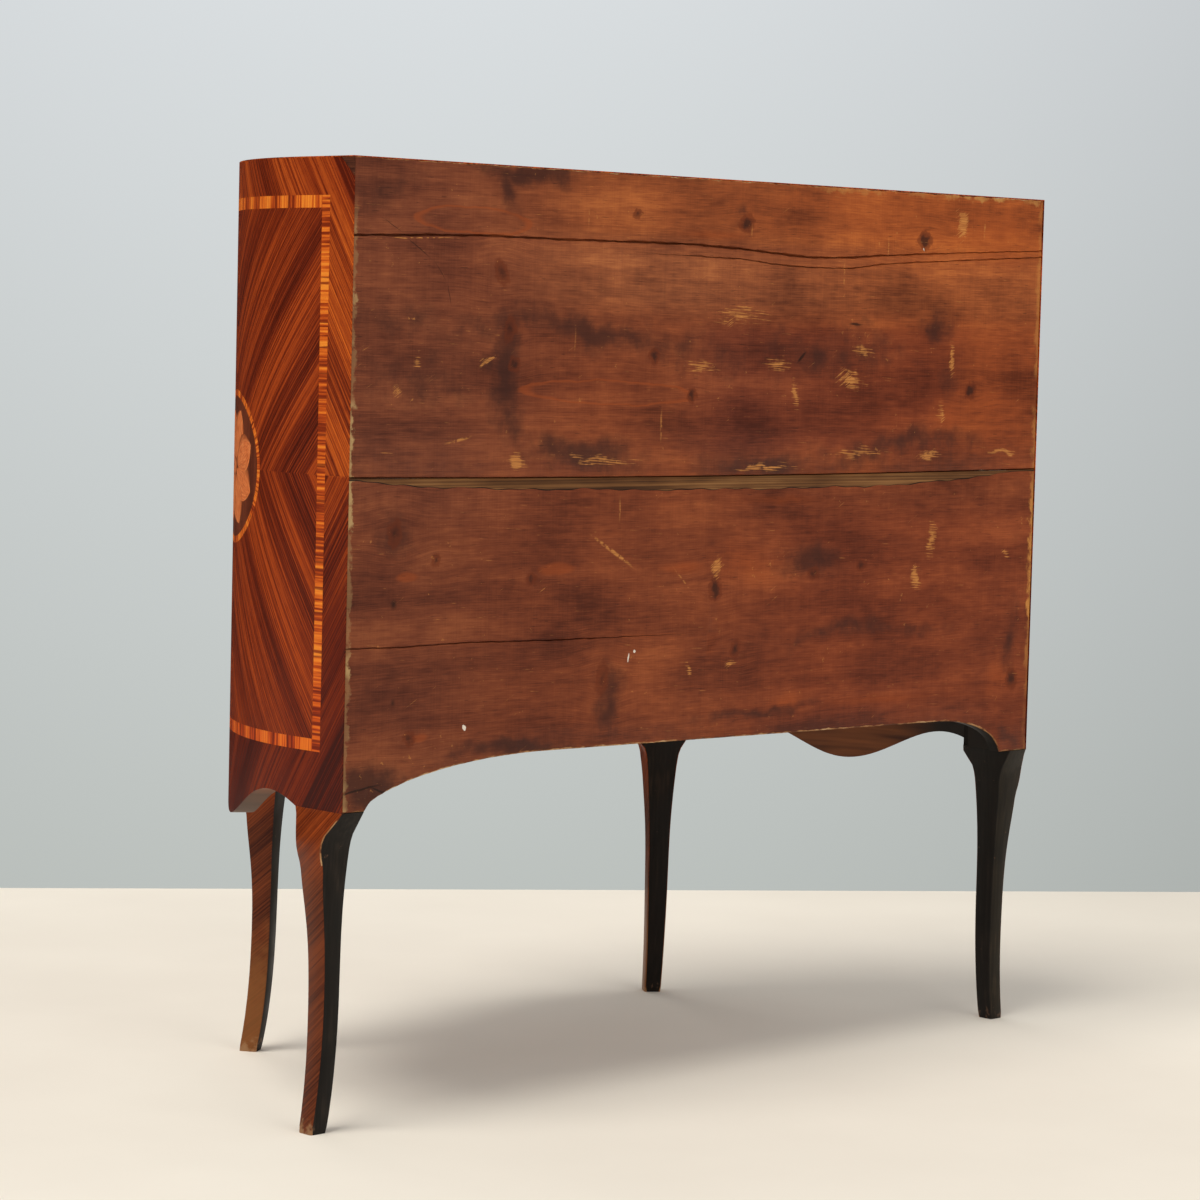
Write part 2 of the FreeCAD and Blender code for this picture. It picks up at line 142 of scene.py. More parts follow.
def plan(place, inset=0.0):
    """Point of the plan outline, moved in by inset. place is the length along it from the front's middle."""
    side = -1 if place < 0 else 1
    run = HALF_RUN - abs(place)
    if run <= STRAIGHT_RUN:
        point = Vector((HALF_WIDTH - inset, BACK_Y - run, 0))
    else:
        if run <= STRAIGHT_RUN + END_ARC:
            centre = END_CENTRE
            radius = END_RADIUS - inset
            angle = math.pi / 2 - (run - STRAIGHT_RUN) / END_RADIUS
        else:
            centre = FRONT_CENTRE
            radius = FRONT_RADIUS - inset
            angle = abs(place) / FRONT_RADIUS
        point = centre + radius * Vector((math.sin(angle), -math.cos(angle), 0))
    point.x *= side
    return point


def front_place(x):
    """Length along the outline from the middle of the front to a place on the front arc."""
    return FRONT_RADIUS * math.asin(x / FRONT_RADIUS)


def run_of(point):
    """Length along the outline from the back corner to a point of the right side."""
    if point.y >= BACK_Y - STRAIGHT_RUN:
        return BACK_Y - point.y
    angle = math.atan2(point.x - END_CENTRE.x, END_CENTRE.y - point.y)
    if angle >= BLEND_ANGLE:
        return STRAIGHT_RUN + END_RADIUS * (math.pi / 2 - angle)
    angle = math.atan2(point.x, FRONT_CENTRE.y - point.y)
    return STRAIGHT_RUN + END_ARC + FRONT_RADIUS * (BLEND_ANGLE - angle)


def on_case(place, level, depth):
    point = plan(place, depth)
    point.z = level
    return point


def on_top(x, y, depth):
    return Vector((x, y, CASE_TOP - depth))


def steps(low, high, *stops):
    """Places from low to high, about a column apart, that take in the stops between them."""
    marks = [low] + sorted(stop for stop in stops if low < stop < high) + [high]
    places = [low]
    for first, second in zip(marks, marks[1:]):
        count = max(1, round((second - first) / COLUMN_STEP))
        places += [blend_value(first, second, (number + 1) / count) for number in range(count)]
    return places


# Half depth of a spot, so great that a spot has the same outline all through a board
FLATTEN = 1000.0


class Graph:
    """The nodes of one material, with short calls for the kinds that are used here."""

    def __init__(self, name):
        self.material = bpy.data.materials.new(name)
        self.material.use_nodes = True
        self.tree = self.material.node_tree
        self.shader = self.tree.nodes["Principled BSDF"]

    def node(self, kind, values=(), **settings):
        made = self.tree.nodes.new("ShaderNode" + kind)
        for name, value in settings.items():
            setattr(made, name, value)
        for key, value in dict(values).items():
            self.feed(made.inputs[key], value)
        return made

    def feed(self, socket, value):
        if isinstance(value, bpy.types.NodeSocket):
            self.tree.links.new(value, socket)
        else:
            socket.default_value = value

    def set(self, **values):
        for name, value in values.items():
            self.feed(self.shader.inputs[name.replace("_", " ")], value)
        return self.material

    def math(self, operation, first, second=0.0):
        return self.node("Math", {0: first, 1: second}, operation=operation).outputs[0]

    def add(self, first, second):
        return self.math("ADD", first, second)

    def times(self, first, second):
        return self.math("MULTIPLY", first, second)

    def sway(self, noise, amount):
        """Noise about 0.5 as a shift of that amount about 0."""
        return self.times(self.add(noise, -0.5), amount)

    def blend(self, first, second, share):
        return self.add(self.times(first, 1 - share), self.times(second, share))

    def most(self, first, second):
        return self.math("MAXIMUM", first, second)

    def between(self, value, low, high, start=0.0, end=1.0):
        """Smooth step of value from low to high, given as start to end."""
        values = {"Value": value, "From Min": low, "From Max": high, "To Min": start, "To Max": end}
        return self.node("MapRange", values, interpolation_type="SMOOTHSTEP").outputs[0]

    def place(self):
        return self.node("TexCoord").outputs["Object"]

    def split(self, vector):
        return self.node("SeparateXYZ", {0: vector}).outputs

    def join(self, x, y, z=0.0):
        return self.node("CombineXYZ", {0: x, 1: y, 2: z}).outputs[0]

    def noise(self, vector, scale=1.0, detail=2.0, roughness=0.5):
        values = {"Vector": vector, "Scale": scale, "Detail": detail, "Roughness": roughness}
        return self.node("TexNoise", values).outputs[0]

    def streaks(self, along, across, long_scale, cross_scale, detail=2.0):
        """Noise drawn out along the grain."""
        drawn_out = self.join(self.times(along, long_scale), self.times(across, cross_scale))
        return self.noise(drawn_out, 1.0, detail)

    def shake(self, place, scale, amount):
        """The place moved about by noise, so that what is drawn there gets an uneven outline."""
        noise = self.node("TexNoise", {"Vector": place, "Scale": scale, "Detail": 2.0}).outputs["Color"]
        values = {0: noise, 1: (amount,) * 3, 2: (-amount / 2,) * 3}
        moved = self.node("VectorMath", values, operation="MULTIPLY_ADD").outputs[0]
        return self.node("VectorMath", {0: place, 1: moved}, operation="ADD").outputs[0]

    def mix(self, share, first, second, blend="MIX"):
        made = self.node("Mix", data_type="RGBA", blend_type=blend)
        self.feed(made.inputs[0], share)
        self.feed(made.inputs[6], first)
        self.feed(made.inputs[7], second)
        return made.outputs[2]

    def ramp(self, value, *stops):
        made = self.node("ValToRGB", {0: value})
        elements = made.color_ramp.elements
        while len(elements) < len(stops):
            elements.new(0.5)
        for element, (position, colour) in zip(elements, stops):
            element.position = position
            element.color = (*colour, 1)
        return made.outputs[0]

    def spot(self, place, x, z, half_length, half_width, tilt=0.0):
        """(1 at the middle of an ellipse in XZ and 0 at its rim, the place in the ellipse's own scale)."""
        values = {"Vector": place, "Location": (x, 0, z), "Rotation": (0, -math.radians(tilt), 0)}
        values["Scale"] = (half_length, FLATTEN, half_width)
        local = self.node("Mapping", values, vector_type="TEXTURE").outputs[0]
        return self.node("TexGradient", {0: local}, gradient_type="SPHERICAL").outputs[1], local

    def spots(self, place, marks):
        """The strongest of several spots, each (x, z, half length, half width, tilt, strength)."""
        total = 0.0
        for x, z, half_length, half_width, tilt, strength in marks:
            value = self.spot(place, x, z, half_length, half_width, tilt)[0]
            total = self.most(total, self.times(value, strength))
        return total

    def bump(self, height, strength, distance):
        values = {"Height": height, "Strength": strength, "Distance": distance}
        return self.node("Bump", values).outputs[0]


# Marks of the back boards, each (x, z, half length, half width, tilt in degrees, strength)
KNOTS = (
    (0.312, 0.826, 0.013, 0.022, -25, 0.55),
    (0.300, 0.772, 0.012, 0.020, 10, 0.60),
    (0.293, 0.738, 0.012, 0.012, 0, 0.75),
    (0.131, 0.890, 0.010, 0.006, 0, 0.60),
    (0.103, 0.748, 0.011, 0.011, 30, 0.80),
    (0.048, 0.709, 0.010, 0.011, 0, 0.80),
    (-0.025, 0.886, 0.017, 0.014, -30, 0.80),
    (-0.302, 0.878, 0.016, 0.014, 0, 0.90),
    (-0.384, 0.716, 0.013, 0.013, 0, 1.00),
    (0.441, 0.576, 0.013, 0.021, 8, 0.60),
    (0.389, 0.549, 0.009, 0.011, 0, 0.60),
    (0.265, 0.527, 0.010, 0.008, 0, 0.60),
    (0.165, 0.424, 0.014, 0.026, 5, 0.50),
    (0.007, 0.510, 0.013, 0.018, 0, 1.00),
    (-0.141, 0.522, 0.013, 0.010, 0, 0.60),
    (-0.215, 0.528, 0.012, 0.010, 0, 0.60),
    (-0.470, 0.394, 0.014, 0.017, 0, 0.80),
    (-0.025, 0.446, 0.011, 0.015, 15, 0.70),
    (0.418, 0.378, 0.012, 0.010, 0, 0.60),
)
STAINS = (
    (0.190, 0.768, 0.250, 0.034, 1, 0.70),
    (0.460, 0.775, 0.120, 0.050, 0, 0.45),
    (0.410, 0.730, 0.180, 0.070, 0, 0.40),
    (0.298, 0.722, 0.036, 0.095, 4, 0.95),
    (0.320, 0.735, 0.040, 0.020, 10, 0.60),
    (0.200, 0.648, 0.130, 0.030, 0, 0.75),
    (0.260, 0.926, 0.150, 0.018, 0, 0.80),
    (0.302, 0.908, 0.026, 0.034, 0, 0.80),
    (0.460, 0.905, 0.060, 0.036, 0, 0.60),
    (-0.020, 0.900, 0.020, 0.020, -30, 0.60),
    (-0.100, 0.755, 0.330, 0.045, 0, 0.45),
    (0.160, 0.390, 0.040, 0.075, 4, 0.70),
    (-0.145, 0.536, 0.080, 0.040, 0, 0.75),
    (-0.325, 0.793, 0.046, 0.030, 0, 0.85),
    (-0.347, 0.730, 0.030, 0.050, -10, 0.50),
    (-0.464, 0.440, 0.026, 0.055, -6, 0.60),
    (-0.200, 0.455, 0.260, 0.018, 0, 0.55),
    (-0.060, 0.640, 0.140, 0.022, 0, 0.85),
    (-0.270, 0.652, 0.220, 0.024, 0, 0.60),
    (0.440, 0.570, 0.050, 0.050, 0, 0.50),
    (0.470, 0.330, 0.070, 0.036, 0, 0.90),
    (0.260, 0.352, 0.150, 0.016, 4, 0.80),
    (-0.080, 0.384, 0.200, 0.014, 2, 0.55),
    (-0.460, 0.330, 0.060, 0.020, 0, 0.60),
)
EMBERS = (
    (0.290, 0.760, 0.026, 0.022, 0, 0.8),
    (-0.420, 0.705, 0.075, 0.090, 0, 0.7),
    (-0.350, 0.680, 0.040, 0.050, 0, 0.6),
    (-0.455, 0.398, 0.034, 0.022, 0, 0.8),
    (-0.105, 0.392, 0.034, 0.016, 0, 0.8),
    (-0.030, 0.528, 0.070, 0.030, 0, 0.6),
    (-0.120, 0.905, 0.300, 0.034, 0, 0.5),
    (-0.420, 0.890, 0.100, 0.050, 0, 0.7),
)
EYES = (
    (0.350, 0.875, 0.080, 0.014, 1, 1.0),
    (0.165, 0.711, 0.130, 0.013, 1, 1.0),
)
RED_SPOTS = (
    (0.425, 0.534, 0.018, 0.0070, 0, 1.0),
    (0.230, 0.536, 0.031, 0.0085, 0, 1.0),
    (0.406, 0.378, 0.015, 0.0060, 0, 0.8),
    (0.055, 0.533, 0.050, 0.0100, 0, 0.6),
    (0.020, 0.872, 0.090, 0.0080, 0, 0.5),
    (-0.250, 0.382, 0.150, 0.0100, 0, 0.4),
    (-0.090, 0.600, 0.110, 0.0090, 0, 0.4),
)
# Pale scuffs; the one at (-0.019, 0.793) is a painted sheen on the upper board
SCUFFS_AND_SHEEN = (
    (0.288, 0.642, 0.018, 0.013, 10, 1.0),
    (0.180, 0.645, 0.075, 0.008, 4, 0.7),
    (-0.362, 0.899, 0.015, 0.022, 0, 1.1),
    (-0.190, 0.727, 0.028, 0.017, 20, 0.8),
    (-0.208, 0.757, 0.022, 0.012, 0, 0.7),
    (-0.076, 0.743, 0.032, 0.010, 0, 0.7),
    (0.038, 0.738, 0.034, 0.010, 0, 0.7),
    (-0.104, 0.709, 0.007, 0.024, -8, 0.8),
    (-0.353, 0.750, 0.008, 0.026, -6, 0.9),
    (-0.337, 0.690, 0.010, 0.022, 0, 0.7),
    (-0.318, 0.645, 0.024, 0.010, 0, 0.9),
    (-0.435, 0.649, 0.050, 0.005, 5, 0.9),
    (-0.205, 0.649, 0.065, 0.007, -3, 0.65),
    (-0.306, 0.512, 0.012, 0.020, 0, 1.0),
    (-0.327, 0.553, 0.010, 0.034, 4, 0.8),
    (-0.451, 0.533, 0.010, 0.007, 0, 0.8),
    (0.006, 0.532, 0.011, 0.018, 0, 1.0),
    (0.042, 0.428, 0.007, 0.016, -20, 0.7),
    (0.419, 0.738, 0.009, 0.014, 0, 0.6),
    (0.444, 0.711, 0.010, 0.009, 0, 0.6),
    (0.330, 0.740, 0.020, 0.005, -12, 0.8),
    # Painted sheen: a pale haze of light over the upper board
    (-0.019, 0.793, 0.060, 0.020, 0, 0.6),
    (-0.060, 0.634, 0.070, 0.005, 0, 0.8),
    (-0.020, 0.430, 0.014, 0.008, -20, 0.7),
)
SCRATCHES = (
    (0.420, 0.8560, 0.085, 0.0010, -2, 0.8),
    (0.364, 0.664, 0.024, 0.0024, -13, 0.9),
    (0.155, 0.552, 0.046, 0.0030, 30, 1.0),
    (0.054, 0.520, 0.030, 0.0018, 44, 0.6),
    (0.146, 0.594, 0.0018, 0.020, 0, 0.6),
    (0.091, 0.677, 0.0022, 0.026, 0, 0.7),
    (0.213, 0.760, 0.0016, 0.026, 0, 0.5),
    (0.198, 0.884, 0.0016, 0.018, 0, 0.5),
    (-0.243, 0.868, 0.0016, 0.022, 0, 0.6),
    (-0.175, 0.838, 0.0018, 0.020, 0, 0.8),
    (-0.033, 0.878, 0.0016, 0.014, 0, 0.6),
    (-0.400, 0.893, 0.0020, 0.016, 0, 0.7),
)
GOUGES = (
    (0.452, 0.867, 0.024, 0.0010, 28, 0.55),
    (0.420, 0.847, 0.032, 0.0010, 31, 0.60),
    (0.391, 0.825, 0.024, 0.0010, 52, 0.45),
    (0.379, 0.803, 0.018, 0.0010, 76, 0.55),
    (-0.113, 0.750, 0.012, 0.0030, -40, 0.9),
    (-0.195, 0.786, 0.016, 0.0022, 0, 0.8),
    (0.480, 0.333, 0.040, 0.0016, -8, 1.0),
    (0.455, 0.331, 0.016, 0.0016, 20, 1.0),
    (0.441, 0.508, 0.007, 0.008, 0, 0.6),
    (0.440, 0.414, 0.006, 0.007, 0, 0.5),
)
# Pale chips, and two painted highlights along the edge of the joint between the boards
CHIPS_AND_JOINT_HIGHLIGHTS = (
    (0.348, 0.385, 0.0034, 0.0048, -30, 1.0),
    (0.129, 0.444, 0.0018, 0.0075, 10, 0.9),
    (0.121, 0.450, 0.0030, 0.0030, 0, 0.8),
    (-0.300, 0.868, 0.0018, 0.0060, -30, 0.6),
    # Painted highlights: the lit edge of the joint between the boards
    (0.450, 0.6272, 0.0620, 0.0014, 0, 1.0),
    (-0.420, 0.6282, 0.0600, 0.0012, 0, 0.8),
)

# Cracks of the back boards as (x, level) on their way from right to left
UPPER_CRACK = (
    (0.499, 0.856), (0.342, 0.861), (0.237, 0.861), (0.057, 0.862), (-0.034, 0.859),
    (-0.106, 0.855), (-0.160, 0.855), (-0.241, 0.860), (-0.332, 0.865), (-0.499, 0.873),
)
SECOND_CRACK = (
    (0.499, 0.851), (0.155, 0.851), (0.056, 0.8505), (-0.024, 0.849), (-0.079, 0.845),
    (-0.135, 0.844), (-0.185, 0.845), (-0.242, 0.851), (-0.332, 0.8565), (-0.499, 0.866),
)
LOWER_CRACK = (
    (0.499, 0.468), (0.421, 0.467), (0.357, 0.468), (0.241, 0.466), (0.083, 0.465),
    (-0.122, 0.464), (-0.499, 0.462),
)
# Height of the planed strip under the joint
PLANED_STRIP = (
    (0.499, 0.001), (0.450, 0.004), (0.400, 0.008), (0.310, 0.0095), (0.033, 0.0125),
    (-0.270, 0.012), (-0.380, 0.007), (-0.460, 0.001), (-0.499, 0.001),
)


def curve_level(points, x):
    """Level of a smooth curve through points that run from right to left."""
    count = len(points)
    index = 0
    while index < count - 2 and x < points[index + 1][0]:
        index += 1
    (x_one, z_one), (x_two, z_two) = points[index], points[index + 1]
    before = points[max(index - 1, 0)]
    after = points[min(index + 2, count - 1)]
    slope_one = (z_two - before[1]) / (x_two - before[0])
    slope_two = (after[1] - z_one) / (after[0] - x_one)
    span = x_two - x_one
    share = (x - x_one) / span
    square, cube = share ** 2, share ** 3
    return (
        (2 * cube - 3 * square + 1) * z_one
        + (cube - 2 * square + share) * span * slope_one
        + (3 * square - 2 * cube) * z_two
        + (cube - square) * span * slope_two
    )


def ripple(value, seed):
    """An uneven wave between about -1 and 1, the same on every run."""
    waves = ((1.0, 1.0), (2.3, 1.7), (5.1, 2.9))
    return sum(math.sin(value * pace + seed * shift) for pace, shift in waves) / len(waves)


def pine_grain(g, place):
    """(tone of old softwood with its grain along X, how much of each place is knot, fine fibres, patches)."""
    x, _, z = g.split(place)
    drift = g.noise(g.join(g.times(x, 2.2), g.times(z, 6.0)), 1.0, 1.0)
    grain = g.add(z, g.sway(drift, 0.014))
    uneven = g.shake(g.shake(place, 110.0, 0.010), 320.0, 0.005)
    knots = 0.0
    for knot_x, knot_z, half_length, half_width, tilt, strength in KNOTS:
        core = g.spot(uneven, knot_x, knot_z, half_length * 0.85, half_width * 0.85, tilt)[0]
        knots = g.most(knots, g.times(core, strength))
        around, local = g.spot(place, knot_x, knot_z, half_length * 5, half_width * 3)
        push = g.times(g.math("POWER", around, 2.0), g.split(local)[2])
        grain = g.add(grain, g.times(push, -half_width * 2.0))
    patch = g.streaks(x, z, 7.0, 13.0, 5.0)
    layers = (
        (0.36, patch),
        (0.21, g.streaks(x, grain, 2.5, 24.0, 3.0)),
        (0.10, g.streaks(x, grain, 3.0, 190.0, 2.0)),
        (0.11, g.streaks(x, z, 60.0, 110.0, 4.0)),
        (0.05, g.streaks(z, x, 9.0, 600.0, 2.0)),
    )
    fibre = g.streaks(x, grain, 34.0, 1000.0, 2.0)
    tone = g.times(fibre, 0.17)
    for share, layer in layers:
        tone = g.add(tone, g.times(layer, share))
    return tone, knots, fibre, patch


def tinted(g, share, colour, tint):
    """The colour, multiplied by a tint where share is 1."""
    return g.mix(share, colour, g.mix(1.0, colour, (*tint, 1), "MULTIPLY"))


# Tints of the back's stain: conditions (axis, place without the tint, place with all of it) and the tint
PINE_ZONES = (
    ((("z", 0.775, 0.815), ("z", 0.880, 0.840), ("x", 0.36, 0.12)), (1.38, 1.68, 1.70)),
    ((("z", 0.858, 0.875), ("x", 0.40, 0.10)), (1.35, 1.45, 1.20)),
    ((("x", 0.15, 0.42),), (0.92, 1.06, 1.30)),
    ((("x", 0.15, 0.30), ("z", 0.62, 0.56)), (0.87, 0.82, 0.80)),
    ((("x", 0.10, -0.20), ("z", 0.62, 0.56)), (0.97, 0.87, 0.86)),
    ((("z", 0.72, 0.76), ("z", 0.88, 0.86), ("x", 0.36, 0.26), ("x", -0.02, 0.08)), (1.10, 1.14, 1.14)),
    ((("x", 0.10, -0.02), ("x", -0.40, -0.32), ("z", 0.64, 0.66), ("z", 0.79, 0.77)), (0.80, 0.76, 0.92)),
    ((("x", 0.05, -0.35), ("z", 0.60, 0.66)), (1.26, 1.14, 0.86)),
)


def pine_zones(g, place, colour):
    """The stain over the back: greyer at one end, warmer at the other, paler under the top crack."""
    x, _, z = g.split(place)
    axes = {"x": x, "z": z}
    for conditions, tint in PINE_ZONES:
        share = 1.0
        for axis, none, full in conditions:
            share = g.times(share, g.between(axes[axis], none, full))
        colour = tinted(g, share, colour, tint)
    return colour


RIGHT_END_WOOD = (0.420, 0.265, 0.115, 1)
LEFT_END_WOOD = (0.520, 0.215, 0.050, 1)
# Pale band along the top edge: worn wood and a painted highlight
TOP_EDGE_WEAR_AND_HIGHLIGHT = (0.480, 0.220, 0.060, 1)


def worn_edges(g, place, colour):
    """The boards' ends, where the stain has rubbed off, and a pale band along the top edge, partly rubbed-off
    stain and partly a painted highlight.
    """
    x, _, z = g.split(place)
    ragged = g.sway(g.noise(place, 90.0, 4.0, 0.65), 0.024)
    patchy = g.between(g.noise(place, 17.0, 3.0), 0.40, 0.58)
    right = g.times(g.between(g.add(x, ragged), 0.4935, 0.4970), g.between(z, 0.90, 0.86))
    colour = g.mix(g.times(right, g.most(patchy, 0.3)), colour, RIGHT_END_WOOD)
    middle = g.times(g.between(z, 0.42, 0.47), g.between(z, 0.66, 0.58))
    left = g.between(g.add(g.times(x, -1.0), ragged), 0.4900, 0.4970)
    colour = g.mix(g.times(left, g.most(g.times(patchy, 0.5), middle)), colour, LEFT_END_WOOD)
    # Pale band along the top edge: worn wood and a painted highlight
    top_edge_wear_and_highlight = g.times(g.between(g.add(z, ragged), 0.9230, 0.9280), g.between(x, 0.10, -0.45))
    return g.mix(g.times(top_edge_wear_and_highlight, patchy), colour, TOP_EDGE_WEAR_AND_HIGHLIGHT)


def strokes(g, place, tilt):
    """Short fine scratches, all at about one tilt from the grain."""
    x, _, z = g.split(place)
    cosine, sine = math.cos(math.radians(tilt)), math.sin(math.radians(tilt))
    along = g.add(g.times(x, cosine), g.times(z, -sine))
    across = g.add(g.times(x, sine), g.times(z, cosine))
    return g.streaks(along, across, 30.0, 820.0, 2.0)


def scuffed(g, place, patch):
    """How much of each place is bare scuffed wood: broken strokes in the scuffs, scratches and specks. One
    scuff is a painted sheen.
    """
    blotchy = g.noise(place, 190.0, 3.0)
    family = g.between(g.noise(place, 16.0, 1.0), 0.55, 0.61)
    flat, steep = strokes(g, place, -3), strokes(g, place, 30)
    breaks = g.add(flat, g.times(family, g.math("SUBTRACT", steep, flat)))
    breaks = g.blend(breaks, blotchy, 0.2)
    # The scuffs' spots, one of them a painted sheen
    rubbed = g.times(g.spots(g.shake(place, 38.0, 0.020), SCUFFS_AND_SHEEN), 0.40)
    bare = g.between(g.add(rubbed, breaks), 0.655, 0.76)
    lines = g.spots(g.shake(place, 60.0, 0.003), SCRATCHES)
    bare = g.most(bare, g.times(g.between(lines, 0.1, 0.7), g.between(blotchy, 0.38, 0.52)))
    grit = g.add(g.noise(place, 130.0, 4.0, 0.7), g.sway(patch, 0.25))
    return g.most(bare, g.between(grit, 0.69, 0.73, 0.0, 0.55))


PINE_TONES = (
    (0.40, (0.082, 0.0180, 0.0078)),
    (0.47, (0.155, 0.0355, 0.0135)),
    (0.53, (0.222, 0.0530, 0.0185)),
    (0.61, (0.330, 0.0880, 0.0280)),
)
RED_WOOD = (0.330, 0.066, 0.014, 1)
OLD_STAIN = (0.044, 0.0150, 0.0110, 1)
KNOT_RIM = (0.130, 0.025, 0.008, 1)
KNOT_CORE = (0.028, 0.011, 0.008, 1)
SCUFFED_WOOD_AND_SHEEN = (0.600, 0.250, 0.062, 1)
GOUGE_DIRT = (0.022, 0.009, 0.006, 1)
CHIPPED_WOOD_AND_HIGHLIGHT = (0.720, 0.640, 0.540, 1)


def coloured_pine(g, place, tone, patch):
    """The stained wood before wear: its zones, its red eyes and spots, and the dark stains."""
    colour = pine_zones(g, place, g.ramp(tone, *PINE_TONES))
    loose = g.shake(g.shake(place, 11.0, 0.060), 60.0, 0.014)
    settled = g.shake(place, 30.0, 0.008)
    eyes = g.spots(settled, EYES)
    rims = g.times(g.between(eyes, 0.02, 0.07), g.between(eyes, 0.24, 0.10, 0.0, 0.60))
    reds = g.most(g.between(g.spots(settled, RED_SPOTS), 0.05, 0.50, 0.0, 0.55), rims)
    embers = g.times(g.spots(loose, EMBERS), g.between(tone, 0.44, 0.55, 0.1, 0.9))
    colour = g.mix(g.times(g.most(embers, reds), 0.8), colour, RED_WOOD)
    cloud = g.sway(g.noise(place, 48.0, 4.0, 0.6), 0.7)
    mottle = g.add(g.sway(patch, 0.9), cloud)
    stains = g.between(g.add(g.spots(loose, STAINS), mottle), 0.14, 0.70)
    return g.mix(g.times(stains, 0.82), colour, OLD_STAIN)


def stained_pine():
    """Old stained softwood: grain along X that parts round the knots, stains, scuffs and worn edges, with a
    painted sheen and painted highlights along the joint's edge.
    """
    g = Graph("stained_pine")
    place = g.place()
    x, _, z = g.split(place)
    tone, knots, fibre, patch = pine_grain(g, place)
    colour = coloured_pine(g, place, tone, patch)
    colour = g.mix(g.between(knots, 0.02, 0.20, 0.0, 0.6), colour, KNOT_RIM)
    colour = g.mix(g.between(knots, 0.22, 0.70, 0.0, 0.78), colour, KNOT_CORE)

    # Scuffs of pale bare wood, one of them a painted sheen
    scuffs = scuffed(g, place, patch)
    colour = g.mix(g.times(scuffs, g.between(fibre, 0.35, 0.62, 0.35, 0.85)), colour, SCUFFED_WOOD_AND_SHEEN)
    pits = g.between(g.streaks(x, z, 60.0, 900.0, 1.0), 0.70, 0.76, 0.0, 0.7)
    gouges = g.most(g.between(g.spots(g.shake(place, 60.0, 0.003), GOUGES), 0.1, 0.6), pits)
    colour = g.mix(g.times(gouges, 0.85), colour, GOUGE_DIRT)
    colour = worn_edges(g, place, colour)
    # Pale chips in the wood, and painted highlights along the joint's edge
    crumbs = g.sway(g.noise(place, 300.0), 0.8)
    chips_and_highlights = g.between(g.add(g.spots(place, CHIPS_AND_JOINT_HIGHLIGHTS), crumbs), 0.30, 0.45)
    colour = g.mix(chips_and_highlights, colour, CHIPPED_WOOD_AND_HIGHLIGHT)

    height = g.add(g.times(fibre, 0.6), g.add(g.times(scuffs, -0.3), g.times(gouges, -0.8)))
    return g.set(
        Base_Color=colour,
        Roughness=g.between(patch, 0.3, 0.7, 0.46, 0.64),
        Specular_IOR_Level=0.14,
        Normal=g.bump(height, 0.35, 0.0006),
    )


def planed_pine():
    """The cleaner, olive-brown wood of the planed strip along the joint."""
    g = Graph("planed_pine")
    place = g.place()
    x, _, z = g.split(place)
    rings = g.streaks(x, z, 2.5, 520.0, 2.0)
    cloud = g.noise(g.join(g.times(x, 9.0), g.times(z, 40.0)), 1.0, 3.0)
    colour = g.ramp(
        g.blend(rings, cloud, 0.4),
        (0.36, (0.050, 0.020, 0.008)),
        (0.50, (0.140, 0.058, 0.019)),
        (0.64, (0.270, 0.125, 0.042)),
    )
    return g.set(Base_Color=colour, Roughness=0.6, Specular_IOR_Level=0.2, Normal=g.bump(rings, 0.4, 0.0006))


def bare_pine():
    """Worn arrises of the back boards: pale bare wood between remains of the stain."""
    g = Graph("bare_pine")
    place = g.place()
    worn = g.noise(place, 45.0, 4.0, 0.65)
    colour = g.ramp(
        worn,
        (0.40, (0.110, 0.030, 0.011)),
        (0.52, (0.330, 0.150, 0.055)),
        (0.66, (0.560, 0.360, 0.180)),
    )
    return g.set(Base_Color=colour, Roughness=0.7, Specular_IOR_Level=0.2)


def grain_map(g):
    """(place along the grain, place across it) from the map that every sheet of veneer carries."""
    along, across, _ = g.split(g.node("UVMap", uv_map="grain").outputs[0])
    return along, across


def polish(g, colour, lines):
    """Old French polish over a veneer."""
    return g.set(
        Base_Color=colour,
        Roughness=g.between(lines, 0.3, 0.7, 0.34, 0.44),
        Specular_IOR_Level=0.14,
        Normal=g.bump(lines, 0.05, 0.0003),
    )


def veneer_stripes(g):
    """(tone of striped rosewood, its fine lines): straight lines, darker bands and short pores."""
    along, across = grain_map(g)
    drift = g.noise(g.join(g.times(along, 4.0), g.times(across, 7.0)), 1.0, 1.0)
    across = g.add(across, g.sway(drift, 0.003))
    broad = g.streaks(along, across, 1.2, 24.0, 4.0)
    lines = g.streaks(along, across, 3.5, 560.0, 3.0)
    pores = g.streaks(along, across, 60.0, 1500.0, 1.0)
    tone = g.blend(broad, lines, 0.56)
    return g.add(tone, g.between(pores, 0.55, 0.72, 0.0, -0.07)), lines


def striped_veneer(name, dark, middle, light, finish=None):
    """Polished striped rosewood; finish may tint it in places."""
    g = Graph(name)
    tone, lines = veneer_stripes(g)
    colour = g.ramp(tone, (0.39, dark), (0.49, middle), (0.61, light))
    return polish(g, finish(g, colour) if finish else colour, lines)


def darker_below(g, colour):
    """The lower leaves of the sides' borders, which are darker than the upper ones."""
    _, _, z = g.split(g.place())
    colour = tinted(g, g.between(z, 0.84, 0.90), colour, (0.84, 0.74, 0.74))
    colour = tinted(g, g.between(z, MATCH_LEVEL + 0.002, MATCH_LEVEL - 0.002), colour, (0.64, 0.50, 0.40))
    return tinted(g, g.between(z, MATCH_LEVEL - 0.02, MATCH_LEVEL - 0.15), colour, (0.54, 0.40, 0.40))


